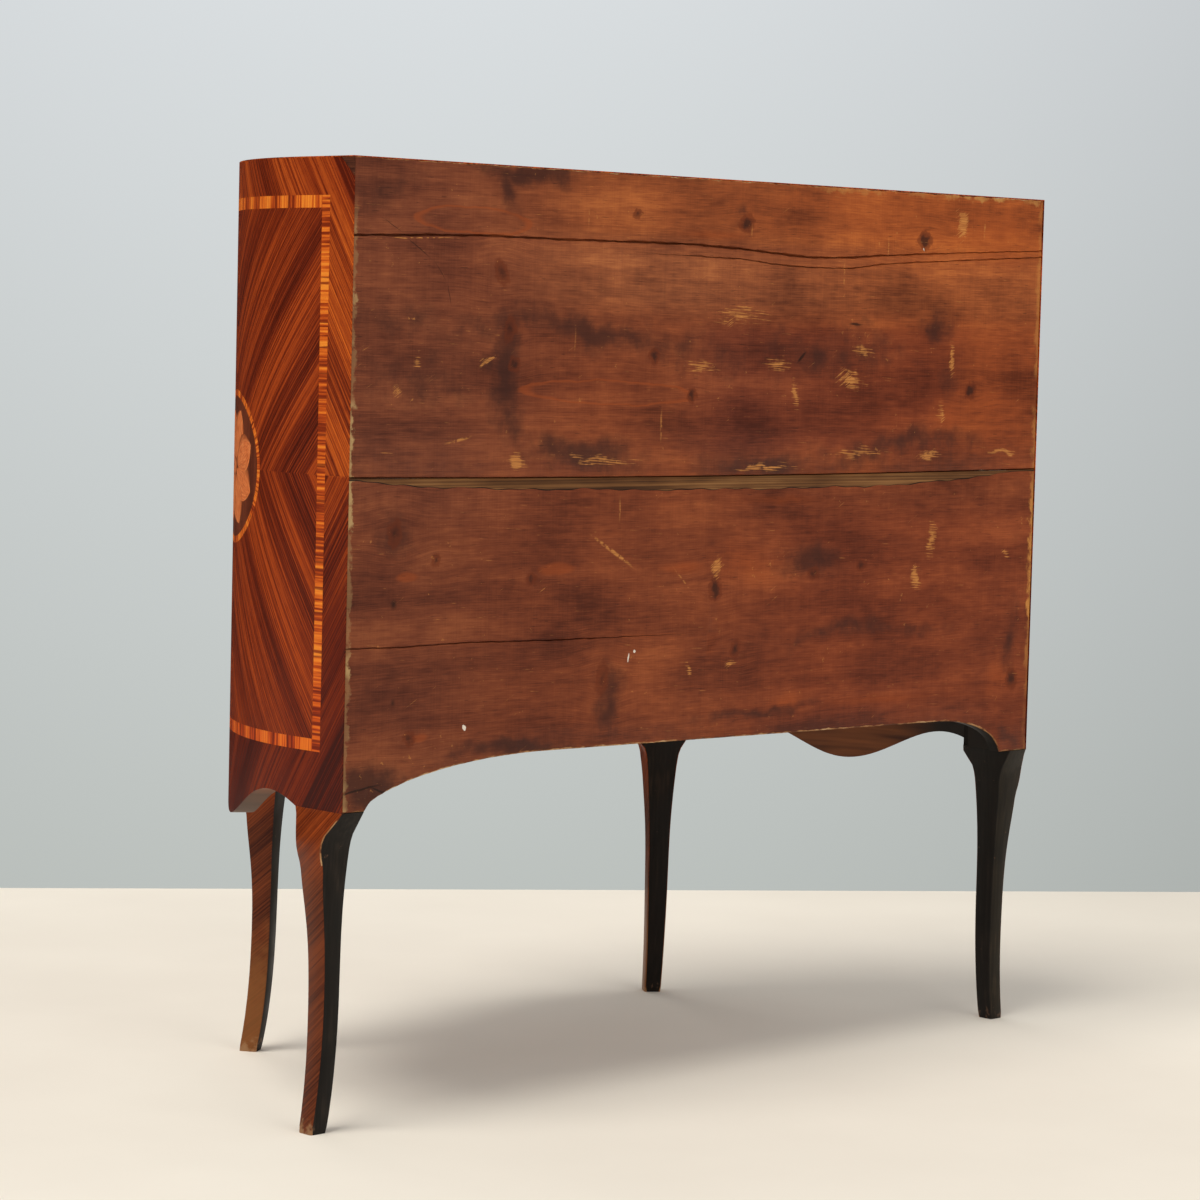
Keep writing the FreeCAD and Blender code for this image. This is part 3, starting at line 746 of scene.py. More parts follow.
def leg_veneer():
    """The legs' outer faces: the side's veneer at the top, darker below, and rubbed at the feet."""
    g = Graph("leg_veneer")
    place = g.place()
    _, y, z = g.split(place)
    tone, lines = veneer_stripes(g)
    shin = g.ramp(tone, (0.38, (0.042, 0.0075, 0.0026)), (0.62, (0.185, 0.0400, 0.0100)))
    knee = g.ramp(tone, (0.38, (0.065, 0.0075, 0.0014)), (0.62, (0.330, 0.0560, 0.0060)))
    colour = g.mix(g.between(z, 0.23, 0.30), shin, knee)
    uneven = g.add(z, g.sway(g.noise(place, 60.0, 3.0), 0.10))
    rubbed = g.times(g.between(uneven, 0.16, 0.05, 0.0, 0.65), g.between(y, 0.05, -0.05))
    colour = g.mix(rubbed, colour, (0.250, 0.095, 0.026, 1))
    foot = g.between(g.add(z, g.sway(g.noise(place, 150.0, 3.0), 0.05)), 0.012, 0.0)
    return polish(g, g.mix(g.times(foot, 0.7), colour, (0.340, 0.190, 0.090, 1)), lines)


def banding():
    """Orange banding, cut across the grain, so its stripes cross the strip."""
    g = Graph("orange_banding")
    along, across = grain_map(g)
    broad = g.streaks(along, across, 3.0, 45.0, 1.0)
    lines = g.streaks(along, across, 8.0, 330.0, 3.0)
    colour = g.ramp(
        g.blend(broad, lines, 0.58),
        (0.40, (0.200, 0.0210, 0.0022)),
        (0.46, (0.450, 0.0600, 0.0040)),
        (0.52, (0.720, 0.1450, 0.0090)),
        (0.60, (0.870, 0.2600, 0.0220)),
    )
    cuts = g.between(g.streaks(along, across, 6.0, 170.0, 1.0), 0.40, 0.34, 0.0, 0.75)
    colour = g.mix(cuts, colour, (0.160, 0.0170, 0.0020, 1))
    _, _, z = g.split(g.place())
    return polish(g, tinted(g, g.between(z, 0.50, 0.38), colour, (0.90, 0.68, 0.60)), lines)


def petal_wood():
    """Pale wood of the rosette: grain along each petal, one edge shaded in hot sand."""
    g = Graph("rosette_wood")
    along, across = grain_map(g)
    lines = g.streaks(along, across, 6.0, 9.0, 3.0)
    colour = g.ramp(
        lines,
        (0.36, (0.540, 0.115, 0.026)),
        (0.50, (0.690, 0.175, 0.045)),
        (0.66, (0.790, 0.260, 0.080)),
    )
    shade = g.between(g.add(across, g.sway(lines, 0.3)), 0.45, 1.05)
    base = g.between(along, 0.22, 0.02)
    colour = g.mix(g.times(g.most(shade, base), 0.7), colour, (0.130, 0.024, 0.007, 1))
    return polish(g, colour, lines)


def black_stain(name, wear=(1.0, 1.0, 1.0)):
    """Worn black-brown stain on the legs' inner and back faces; wear brightens it. The black one also paints
    the shadow line under the back's planed strip.
    """
    g = Graph(name)
    place = g.place()
    x, y, z = g.split(place)
    fibre = g.noise(g.join(g.times(x, 300.0), g.times(y, 300.0), g.times(z, 14.0)), 1.0, 2.0)
    patch = g.noise(place, 18.0, 3.0)
    colour = g.ramp(
        g.blend(fibre, patch, 0.55),
        (0.36, (0.0050, 0.0038, 0.0030)),
        (0.56, (0.0115, 0.0088, 0.0068)),
        (0.72, (0.0300, 0.0210, 0.0150)),
    )
    colour = tinted(g, 1.0, tinted(g, g.between(y, 0.05, -0.05), colour, (0.95, 0.80, 0.72)), wear)
    scuff = g.between(g.add(g.noise(place, 130.0, 3.0), g.between(z, 0.03, 0.0, 0.0, 0.16)), 0.70, 0.80)
    colour = g.mix(g.times(scuff, 0.5), colour, (0.16, 0.085, 0.05, 1))
    return g.set(
        Base_Color=colour,
        Roughness=g.between(patch, 0.3, 0.7, 0.42, 0.58),
        Specular_IOR_Level=0.16,
        Normal=g.bump(fibre, 0.25, 0.0004),
    )


NEAR_BLACK = (0.012, 0.009, 0.007, 1)


def black_lower_ends(g, axes, cloud, colour):
    """The posts' stain, which runs up from the legs."""
    level = g.add(axes[2], g.sway(cloud, 0.03))
    return g.mix(g.between(level, 0.42, 0.38), colour, NEAR_BLACK)


def worn_aprons(g, axes, cloud, colour):
    """The panels' inner faces: grey and bare on the right apron, black beside the left back leg."""
    x, y, z = axes
    bare = g.times(g.between(z, LEG_TOP + 0.012, LEG_TOP - 0.008), g.between(x, 0.2, 0.3))
    colour = g.mix(g.times(bare, g.between(cloud, 0.35, 0.65, 0.95, 0.7)), colour, (0.062, 0.049, 0.037, 1))
    # Near black over the back part of the left panel's inner face, beside the back leg
    depth = g.add(y, g.sway(cloud, 0.06))
    return g.mix(g.times(g.between(depth, 0.06, 0.13), g.between(x, -0.2, -0.3)), colour, NEAR_BLACK)


def plain_wood(name, dark, light, scales, roughness, finish=None):
    """Unpolished wood. scales say how fine its grain is along each axis; finish may stain it in places."""
    g = Graph(name)
    place = g.place()
    axes = g.split(place)
    fibre = g.noise(g.join(*(g.times(axis, scale) for axis, scale in zip(axes, scales))), 1.0, 3.0)
    cloud = g.noise(place, 7.0, 3.0)
    middle = [(low + high) / 2 for low, high in zip(dark, light)]
    colour = g.ramp(g.blend(fibre, cloud, 0.4), (0.36, dark), (0.5, middle), (0.66, light))
    if finish:
        colour = finish(g, axes, cloud, colour)
    relief = g.bump(fibre, 0.3, 0.0005)
    return g.set(Base_Color=colour, Roughness=roughness, Specular_IOR_Level=0.3, Normal=relief)


def metal(name, bright, dull, roughness, patina):
    """Cast and rubbed metal that has gone dull in patches."""
    g = Graph(name)
    place = g.place()
    cloud = g.noise(place, 130.0, 4.0, 0.6)
    worn = g.between(cloud, 0.38, 0.66)
    colour = g.mix(g.times(worn, patina), (*bright, 1), (*dull, 1))
    return g.set(
        Base_Color=colour,
        Metallic=1.0,
        Roughness=g.between(cloud, 0.3, 0.7, roughness, roughness + 0.2),
        Normal=g.bump(g.noise(place, 700.0, 2.0), 0.06, 0.0003),
    )


PINE = stained_pine()
PLANED = planed_pine()
BARE = bare_pine()
FIELD_TONES = ((0.062, 0.0056, 0.0009), (0.172, 0.0170, 0.0014), (0.430, 0.0620, 0.0040))
BORDER_TONES = ((0.115, 0.0115, 0.0013), (0.310, 0.0410, 0.0030), (0.620, 0.1200, 0.0085))
BORDER = striped_veneer("border_veneer", *BORDER_TONES)
SIDE_BORDER = striped_veneer("side_border_veneer", *BORDER_TONES, darker_below)
GROUND_TONES = ((0.070, 0.0130, 0.0050), (0.135, 0.0280, 0.0100), (0.210, 0.0470, 0.0160))
DARK_TONES = ((0.035, 0.0100, 0.0060), (0.080, 0.0230, 0.0115), (0.140, 0.0420, 0.0180))
FIELD = striped_veneer("field_veneer", *FIELD_TONES)
GROUND = striped_veneer("ground_veneer", *GROUND_TONES)
DARK_VENEER = striped_veneer("dark_veneer", *DARK_TONES)
LEG_VENEER = leg_veneer()
BANDING = banding()
PETAL = petal_wood()
BLACK = black_stain("black_stain")
WORN_BLACK = black_stain("worn_black_stain", (1.7, 1.6, 1.25))
SOFTWOOD = ((0.105, 0.034, 0.016), (0.250, 0.090, 0.038))
PANEL_TONES = ((0.070, 0.022, 0.009), (0.260, 0.085, 0.026))
POST_TONES = ((0.070, 0.026, 0.014), (0.170, 0.064, 0.030))
OAK = ((0.270, 0.130, 0.055), (0.470, 0.260, 0.120))
ALONG_X = (5.0, 170.0, 170.0)
ALONG_Y = (170.0, 5.0, 170.0)
ALONG_Z = (170.0, 170.0, 5.0)
ROUND_PANEL = (9.0, 9.0, 130.0)
CASE_WOOD = plain_wood("case_softwood", *SOFTWOOD, ALONG_X, 0.62)
PANEL_WOOD = plain_wood("panel_wood", *PANEL_TONES, ROUND_PANEL, 0.55, worn_aprons)
POST_WOOD = plain_wood("post_wood", *POST_TONES, ALONG_Z, 0.62, black_lower_ends)
DRAWER_WOOD = plain_wood("drawer_oak", *OAK, ALONG_X, 0.55)
DRAWER_SIDE = plain_wood("drawer_side_oak", *OAK, ALONG_Y, 0.55)
BRASS = metal("brass", (0.780, 0.520, 0.200), (0.330, 0.190, 0.070), 0.24, 0.75)
IRON = metal("iron", (0.170, 0.155, 0.145), (0.070, 0.045, 0.030), 0.48, 0.9)


def added(name, data):
    """A new object in the scene."""
    made = bpy.data.objects.new(name, data)
    scene.collection.objects.link(made)
    return made


def piece(name, mesh, materials, body, replaced=()):
    """A new object that rides on a body and stands for CAD nodes."""
    for material in materials:
        mesh.materials.append(material)
    made = added(name, mesh)
    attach(made, body)
    if replaced:
        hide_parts(*replaced)


def finished_mesh(name, bm, sharp_degrees=35):
    """The mesh of a bmesh, with outward normals and smooth shading between its sharp edges."""
    bmesh.ops.recalc_face_normals(bm, faces=bm.faces)
    mesh = bpy.data.meshes.new(name)
    for face in bm.faces:
        face.smooth = True
    bm.to_mesh(mesh)
    bm.free()
    mesh.set_sharp_from_angle(angle=math.radians(sharp_degrees))
    return mesh


def lofted(bm, rings):
    """(number in its ring, face) of every new face between rings of vertices."""
    for first, second in zip(rings, rings[1:]):
        for number, vertex in enumerate(first):
            after = (number + 1) % len(first)
            yield number, bm.faces.new((vertex, first[after], second[after], second[number]))


def cut_mesh(node, level, **options):
    """(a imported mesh, what a level plane cuts through in it)."""
    bm = bmesh.new()
    bm.from_mesh(nodes[node].data)
    everything = list(bm.verts) + list(bm.edges) + list(bm.faces)
    cut = bmesh.ops.bisect_plane(bm, geom=everything, plane_co=(0, 0, level), plane_no=(0, 0, 1), **options)
    return bm, cut["geom_cut"]


class Sheet:
    """Thin closed pieces of veneer that make up one object, with a map along the grain."""

    def __init__(self, surface):
        self.bm = bmesh.new()
        self.map = self.bm.loops.layers.uv.new("grain")
        self.surface = surface

    def corner(self, where, grain, proud):
        """(outer vertex, inner vertex, place in the map) at one place on the surface."""
        outer = self.bm.verts.new(self.surface(*where, -proud))
        inner = self.bm.verts.new(self.surface(*where, SKIN))
        return outer, inner, grain

    def patch(self, stations, low, high, grain, lay=None, proud=0.0, rows=1):
        """A closed sheet over the stations, between low and high there. lay turns (station, row) into a place
        on the surface, and grain turns it into the map."""
        columns = []
        for station in stations:
            column = []
            for number in range(rows + 1):
                row = blend_value(low(station), high(station), number / rows)
                where = lay(station, row) if lay else (station, row)
                column.append(self.corner(where, grain(station, row), proud))
            columns.append(column)
        for first, second in zip(columns, columns[1:]):
            if max(self.apart(first[0], first[-1]), self.apart(second[0], second[-1])) >= SAME_PLACE:
                self.strip(first, second)
        if self.apart(columns[0][0], columns[-1][0]) > SAME_PLACE:
            for row in range(rows):
                self.rim(columns[0][row + 1], columns[0][row])
                self.rim(columns[-1][row], columns[-1][row + 1])
        verts = [vert for column in columns for corner in column for vert in corner[:2]]
        bmesh.ops.remove_doubles(self.bm, verts=verts, dist=SAME_VERTEX)

    def apart(self, first, second):
        return (first[0].co - second[0].co).length

    def strip(self, first, second):
        """The faces between two columns of corners."""
        for row in range(len(first) - 1):
            around = (first[row], second[row], second[row + 1], first[row + 1])
            self.face([corner[0] for corner in around], around)
            self.face([corner[1] for corner in reversed(around)], around[::-1])
        self.rim(first[0], second[0])
        self.rim(second[-1], first[-1])

    def rim(self, first, second):
        self.face((first[1], second[1], second[0], first[0]), (first, second, second, first))

    def face(self, verts, corners):
        if len({vert.co.to_tuple(7) for vert in verts}) < 3:
            return
        made = self.bm.faces.new(verts)
        for loop, corner in zip(made.loops, corners):
            loop[self.map].uv = corner[2]

    def finish(self, name, material, body, replaced=()):
        piece(name, finished_mesh(name, self.bm), [material], body, replaced)


def matched_grain(turn, centre, middle, offset=0.0):
    """A map for veneer matched in mirror image about a centre: its grain lies at turn from the first axis."""
    cosine, sine = math.cos(turn), math.sin(turn)

    def grain(place, level):
        across, up = abs(place - centre), abs(level - middle)
        return cosine * across + sine * up + offset, cosine * up - sine * across + offset

    return grain


def fixed(value):
    return lambda place: value


def clipped(edge, low, high):
    return lambda place: min(max(edge(place), low), high)


def oval_height(distance, half_across, half_high):
    """Half the height of an oval at a distance from its middle."""
    share = min(1.0, abs(distance) / half_across)
    return half_high * math.sqrt(1 - share * share)


class Panel:
    """A panel of marquetry: border, band and a quartered field round a medallion, cut to a window of rows."""

    def __init__(self, surface, centre, middle, offset, window=WHOLE):
        self.sheets = {}
        self.surface = surface
        self.centre = centre
        self.middle = middle
        self.offset = offset
        self.window = window

    def lay(self, kind, first, last, low, high, turn, lower_turn=None):
        """One kind of veneer, in mirror image about the panel's centre and matched along its middle."""
        sheet = self.sheets.setdefault(kind, Sheet(self.surface))
        stations = steps(first, last, self.centre)
        bottom, ceiling = self.window
        upper = (max(self.middle, bottom), ceiling, turn, self.offset)
        lower = (bottom, min(self.middle, ceiling), lower_turn or turn, self.offset + MATCH_SHIFT)
        for start, end, half_turn, offset in (upper, lower):
            low_edge, high_edge = clipped(low, start, end), clipped(high, start, end)
            if all(high_edge(place) - low_edge(place) < THINNEST for place in stations):
                continue
            grain = matched_grain(half_turn, self.centre, self.middle, offset)
            sheet.patch(stations, low_edge, high_edge, grain)

    def border(self, first, last, low, high, inner, rail):
        """The strips between an outer edge and the band's outer rectangle, inner = (first, last, low, high).
        rail is the veneer of the level strips and the turn of its grain."""
        in_first, in_last, in_low, in_high = inner
        self.lay("border", first, in_first, low, high, BORDER_TURN)
        self.lay("border", in_last, last, low, high, BORDER_TURN)
        kind, turn = rail
        self.lay(kind, in_first, in_last, fixed(in_high), high, turn)
        self.lay(kind, in_first, in_last, low, fixed(in_low), turn)

    def band(self, outer):
        """Four strips inside a rectangle, the upright ones as high as it. Gives the rectangle inside them."""
        first, last, low, high = outer
        inner = (first + BAND_WIDTH, last - BAND_WIDTH, low + BAND_WIDTH, high - BAND_WIDTH)
        for start, end in ((first, inner[0]), (inner[1], last)):
            self.lay("band", start, end, fixed(low), fixed(high), 0.0)
        for start, end in ((inner[3], high), (low, inner[2])):
            self.lay("band", *inner[:2], fixed(start), fixed(end), math.pi / 2)
        return inner

    def field(self, first, last, low, high, *turns):
        """The quartered veneer between two ends and two edges, round the medallion."""
        left, right = self.centre - MEDALLION_ACROSS, self.centre + MEDALLION_ACROSS

        def oval(place):
            return oval_height(place - self.centre, MEDALLION_ACROSS, MEDALLION_HIGH)

        self.lay("field", first, left, low, high, *turns)
        self.lay("field", right, last, low, high, *turns)
        self.lay("field", left, right, lambda place: self.middle + oval(place), high, *turns)
        self.lay("field", left, right, low, lambda place: self.middle - oval(place), *turns)

    def fill(self, outer):
        """Band and field inside a rectangle."""
        first, last, low, high = self.band(outer)
        self.field(first, last, fixed(low), fixed(high), FIELD_TURN, LOWER_FIELD_TURN)

    def finish(self, name, border, body, replaced):
        """The panel's three pieces, of which the border stands for the CAD nodes."""
        self.sheets["border"].finish(name.format("border"), border, body, replaced)
        self.sheets["band"].finish(name.format("band"), BANDING, body)
        self.sheets["field"].finish(name.format("field"), FIELD, body)


def whole_turn(parts):
    return [2 * math.pi * number / parts for number in range(parts + 1)]


def medallion_ring(surface, centre, middle):
    """The light ring round the medallion."""

    def on_ring(turn, reach):
        across = (MEDALLION_ACROSS - reach) * math.cos(turn)
        return centre + across, middle + (MEDALLION_HIGH - reach) * math.sin(turn)

    def ring_grain(turn, reach):
        return reach, turn * MEDALLION_HIGH

    ring = Sheet(surface)
    ring.patch(whole_turn(RING_PARTS), fixed(0.0), fixed(MEDALLION_RING), ring_grain, on_ring)
    return ring


def medallion_ground(surface, centre, middle):
    """The dark oval inside the ring."""
    half_across = MEDALLION_ACROSS - MEDALLION_RING
    half_high = MEDALLION_HIGH - MEDALLION_RING

    def oval(place):
        return oval_height(place - centre, half_across, half_high)

    ground = Sheet(surface)
    angles = whole_turn(2 * GROUND_PARTS)[:GROUND_PARTS + 1]
    places = [centre - half_across * math.cos(angle) for angle in angles]
    # Matched about a place beside the ground, so that its grain runs straight through
    grain = matched_grain(math.pi / 2, centre - 1.0, middle - 1.0)
    ground.patch(places, lambda place: middle - oval(place), lambda place: middle + oval(place), grain)
    return ground


def medallion_petals(surface, centre, middle):
    """The rosette on the ground: a ring of petals and a round eye."""
    petals = Sheet(surface)
    for number in range(PETALS):
        petal(petals, centre, middle, 2 * math.pi * (number + 0.5) / PETALS, number)

    def on_eye(turn, reach):
        return centre + reach * math.cos(turn), middle + reach * math.sin(turn)

    def eye_grain(turn, reach):
        return 0.5 + reach, reach / ROSETTE_EYE

    petals.patch(whole_turn(EYE_PARTS), fixed(0.0), fixed(ROSETTE_EYE), eye_grain, on_eye, 2 * PROUD)
    return petals


def medallion(name, surface, centre, middle, body):
    """The oval medallion: a light ring, a dark ground and a rosette."""
    medallion_ring(surface, centre, middle).finish(name + "_ring", BANDING, body)
    medallion_ground(surface, centre, middle).finish(name + "_ground", GROUND, body)
    medallion_petals(surface, centre, middle).finish(name + "_petals", PETAL, body)


def petal(sheet, centre, middle, turn, number):
    """One pointed petal of the rosette, on the dark ground."""
    cosine, sine = math.cos(turn), math.sin(turn)

    def half(share):
        return PETAL_HALF_WIDTH * max(math.sin(math.pi * share ** PETAL_LEAN), 0.0) ** PETAL_ROUNDNESS

    def lay(share, across):
        reach = blend_value(PETAL_START, ROSETTE_REACH, share)
        right = reach * cosine - across * sine
        return centre + ROSETTE_STRETCH * right, middle + reach * sine + across * cosine

    def grain(share, across):
        width = half(share)
        return share + number * PETAL_SHIFT, across / width if width > SAME_PLACE else 0.0

    shares = [step / PETAL_PARTS for step in range(PETAL_PARTS + 1)]
    sheet.patch(shares, lambda share: -half(share), half, grain, lay, PROUD, PETAL_ROWS)


def packed_edge(node, highest, place_of):
    """Level of a packed veneer's lower edge, read from its corners below the highest. place_of gives a
    corner's place along the edge."""
    corners = {}
    for vertex in nodes[node].data.vertices:
        if vertex.co.z < highest:
            place = round(place_of(vertex.co), 4)
            corners[place] = max(vertex.co.z, corners.get(place, 0.0))
    points = sorted(corners.items())

    def level(place):
        for (place_one, z_one), (place_two, z_two) in zip(points, points[1:]):
            if place_one <= place <= place_two:
                return blend_value(z_one, z_two, (place - place_one) / (place_two - place_one))
        return points[0][1] if place < points[0][0] else points[-1][1]

    return level


# How far under the drawers' opening the corners of a lower edge lie at least
SIDE_EDGE_DROP = 0.02
APRON_EDGE_DROP = 0.01
CHIP_ACROSS = 0.020
CHIP_HIGH = 0.018
CHIP_DEPTH = 0.0005


def chipped_top(place):
    """Upper edge of the right side's veneer, which has lost a corner at the back."""
    run = HALF_RUN - abs(place)
    return SKIN_TOP - CHIP_HIGH * max(0.0, 1 - run / CHIP_ACROSS)


def sides():
    """The veneer of both sides, from the drawers' opening round to the back."""
    run_edge = packed_edge("side_veneer_right", OPENING_LOW - SIDE_EDGE_DROP, run_of)
    opening = front_place(OPENING_HALF)
    half_band = MEDALLION_RUN - BORDER_WIDTH

    def lower_edge(place):
        return run_edge(HALF_RUN - abs(place))

    for side, name in ((1, "right"), (-1, "left")):
        centre = side * (HALF_RUN - MEDALLION_RUN)
        panel = Panel(on_case, centre, MATCH_LEVEL, offset=0.0)
        ends = sorted((side * opening, side * HALF_RUN))
        outer = (centre - half_band, centre + half_band, OPENING_LOW, OPENING_HIGH)
        upper_edge = chipped_top if side > 0 else fixed(SKIN_TOP)
        panel.border(*ends, lower_edge, upper_edge, outer, ("border", BORDER_TURN))
        panel.fill(outer)
        panel.finish("side_{}_" + name, SIDE_BORDER, "case", ["side_veneer_" + name])
        medallion("side_medallion_" + name, on_case, centre, MATCH_LEVEL, "case")
    chip = Sheet(on_case)
    places = (HALF_RUN - CHIP_ACROSS, HALF_RUN)
    chip.patch(places, chipped_top, fixed(SKIN_TOP), matched_grain(0.0, 0.0, 0.0), proud=-CHIP_DEPTH)
    chip.finish("side_chip_right", DARK_VENEER, "case")


def drawers():
    """The veneer of the drawer fronts: one panel cut into three, with a medallion on the middle drawer."""
    border_low, border_high = OPENING_LOW + FRONT_BORDER, OPENING_HIGH - FRONT_BORDER
    for name in ("lower", "middle", "upper"):
        body = "drawer_" + name
        node = body + "_front_veneer"
        low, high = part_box(node)
        half = front_place(high.x)
        panel = Panel(on_case, 0.0, MATCH_LEVEL, offset=0.35, window=(low.z, high.z))
        outer = (-half + FRONT_BORDER, half - FRONT_BORDER, border_low, border_high)
        panel.border(-half, half, fixed(low.z), fixed(high.z), outer, ("field", RAIL_TURN))
        panel.fill(outer)
        panel.finish(body + "_{}", BORDER, body, [node])
        if low.z < MATCH_LEVEL < high.z:
            medallion(body + "_medallion", on_case, 0.0, MATCH_LEVEL, body)


def front_strips():
    """The veneer of the rail over the drawers and of the apron under them."""
    half = front_place(OPENING_HALF)
    highest = OPENING_LOW - APRON_EDGE_DROP
    apron_edge = packed_edge("front_apron_veneer", highest, lambda corner: front_place(corner.x))
    rail = ("front_rail", fixed(OPENING_HIGH), fixed(SKIN_TOP))
    apron = ("front_apron", apron_edge, fixed(OPENING_LOW))
    for name, low, high in (rail, apron):
        panel = Panel(on_case, 0.0, MATCH_LEVEL, offset=0.1)
        panel.lay("border", -half, half, low, high, BORDER_TURN)
        panel.sheets["border"].finish(name + "_skin", BORDER, "case", [name + "_veneer"])


def top_front(x, inset):
    """Y of the plan's curved outline, moved in by inset."""
    across = abs(x)
    if across <= (FRONT_RADIUS - inset) * math.sin(BLEND_ANGLE):
        return FRONT_CENTRE.y - math.sqrt((FRONT_RADIUS - inset) ** 2 - across ** 2)
    reach = min(across - END_CENTRE.x, END_RADIUS - inset)
    return END_CENTRE.y - math.sqrt((END_RADIUS - inset) ** 2 - reach ** 2)


def top_rim(panel, kind, near, far, turn):
    """The strip of the top between two insets, mitred at the back corners."""
    sheet = panel.sheets.setdefault(kind, Sheet(on_top))
    cosine, sine = math.cos(turn), math.sin(turn)

    def inner(place):
        return min(far, HALF_RUN - abs(place))

    def on_outline(place, depth):
        point = plan(place, depth)
        return point.x, point.y

    def grain(place, depth):
        return cosine * abs(place) + sine * depth, cosine * depth - sine * abs(place)

    end = HALF_RUN - near
    stations = steps(-end, end, far - HALF_RUN, 0.0, HALF_RUN - far)
    sheet.patch(stations, fixed(near), inner, grain, on_outline)

    back_edge = BACK_Y - max(near, TOP_EDGE)

    def back_inner(x):
        return min(BACK_Y - min(far, HALF_WIDTH - abs(x)), back_edge)

    end = HALF_WIDTH - near
    stations = steps(-end, end, far - HALF_WIDTH, 0.0, HALF_WIDTH - far)
    sheet.patch(stations, back_inner, fixed(back_edge), lambda x, y: grain(x, BACK_Y - y))


def top():
    """The veneered top: border and band all round, and a quartered field with a medallion."""
    middle = (FRONT_Y + BACK_Y) / 2 - TOP_SHIFT
    panel = Panel(on_top, 0.0, middle, offset=0.6)
    inset = BORDER_WIDTH + BAND_WIDTH
    half = HALF_WIDTH - inset
    back = BACK_Y - inset
    top_rim(panel, "border", 0.0, BORDER_WIDTH, TOP_BORDER_TURN)
    top_rim(panel, "band", BORDER_WIDTH, inset, math.pi / 2)

    def front(x):
        return min(top_front(x, inset), back - FIELD_MARGIN)

    panel.field(-half, half, front, fixed(back), FIELD_TURN)
    panel.finish("top_{}", BORDER, "case", ["top_veneer"])
    medallion("top_medallion", on_top, 0.0, middle, "case")


LEG_LEVELS = 40
WING_DROP = 0.022
ARRIS = 0.0010
ARRIS_STEPS = 3
ARRIS_WORN = (0.255, 0.305)
KNEE_LEVEL = 0.282
KNEE_BULGE = 0.0050
KNEE_HALF_HEIGHT = 0.028
LEG_GRAIN = math.radians(40)
FRONT_LEG_X = 0.2955
FRONT_LEG_ANGLE = math.asin(FRONT_LEG_X / FRONT_RADIUS)
WING_END = 0.0065
SECTION_GAP = 0.0005
POST_GAP = 0.0001
WING_SHARES = (0.35, 0.7, 1.0)
FOOT_ARRIS = 2.5
# Two of a leg's faces, which are counted from the outer one towards the back, and the finishes of its faces
BACKWARD, INNER = 1, 2
VENEERED, STAINED, POST, WORN, RUBBED = range(5)
LEG_FINISHES = (LEG_VENEER, BLACK, POST_WOOD, WORN_BLACK, BARE)


def leg_section(node, level, outward, along):
    """[lowest and highest along the outward direction, the same along the case] of a leg at one level."""
    bm, cut = cut_mesh(node, level)
    points = [element.co.copy() for element in cut if isinstance(element, bmesh.types.BMVert)]
    bm.free()
    out = [point.dot(outward) for point in points]
    side = [point.dot(along) for point in points]
    return [min(out), max(out), min(side), max(side)]


def leg_sections(node, outward, along, wing_end):
    """(level, section) from the floor up. The wings run straight from a little below the case to its
    underside; the end of the front one may stand upright over a height of wing_end."""
    wing_low = LEG_TOP - WING_DROP
    levels = [SECTION_GAP] + [wing_low * number / LEG_LEVELS for number in range(1, LEG_LEVELS + 1)]
    sections = [(level, leg_section(node, level, outward, along)) for level in levels]
    below = sections[-1][1]
    above = leg_section(node, LEG_TOP - SECTION_GAP, outward, along)
    for share in WING_SHARES:
        section = [blend_value(first, second, share) for first, second in zip(below, above)]
        early = min(1.0, share / (1 - wing_end / WING_DROP))
        section[2] = blend_value(below[2], above[2], early)
        sections.append((blend_value(wing_low, LEG_TOP, share), section))
    for level, section in sections:
        reach = min(abs(level - KNEE_LEVEL) / KNEE_HALF_HEIGHT, 1.0)
        section[1] += KNEE_BULGE * (1 - reach * reach) ** 2
    sections[0] = (0.0, sections[0][1])
    return sections


def leg_ring(bm, level, section, outward, along):
    """The vertices of one section with softened arrises, from the outer face round by the back."""
    out_low, out_high, side_low, side_high = section
    corners = ((out_high, side_low), (out_high, side_high), (out_low, side_high), (out_low, side_low))
    soften = ARRIS * (1.0 if level else FOOT_ARRIS)
    ring = []
    for number, (out, across) in enumerate(corners):
        centre_out = out - math.copysign(soften, out - (out_low + out_high) / 2)
        centre_side = across - math.copysign(soften, across - (side_low + side_high) / 2)
        for step in range(ARRIS_STEPS):
            turn = math.radians(90 * number - 90 + 90 * step / (ARRIS_STEPS - 1))
            spot = outward * (centre_out + soften * math.cos(turn))
            spot += along * (centre_side + soften * math.sin(turn))
            spot.z = level
            ring.append(bm.verts.new(spot))
    return ring


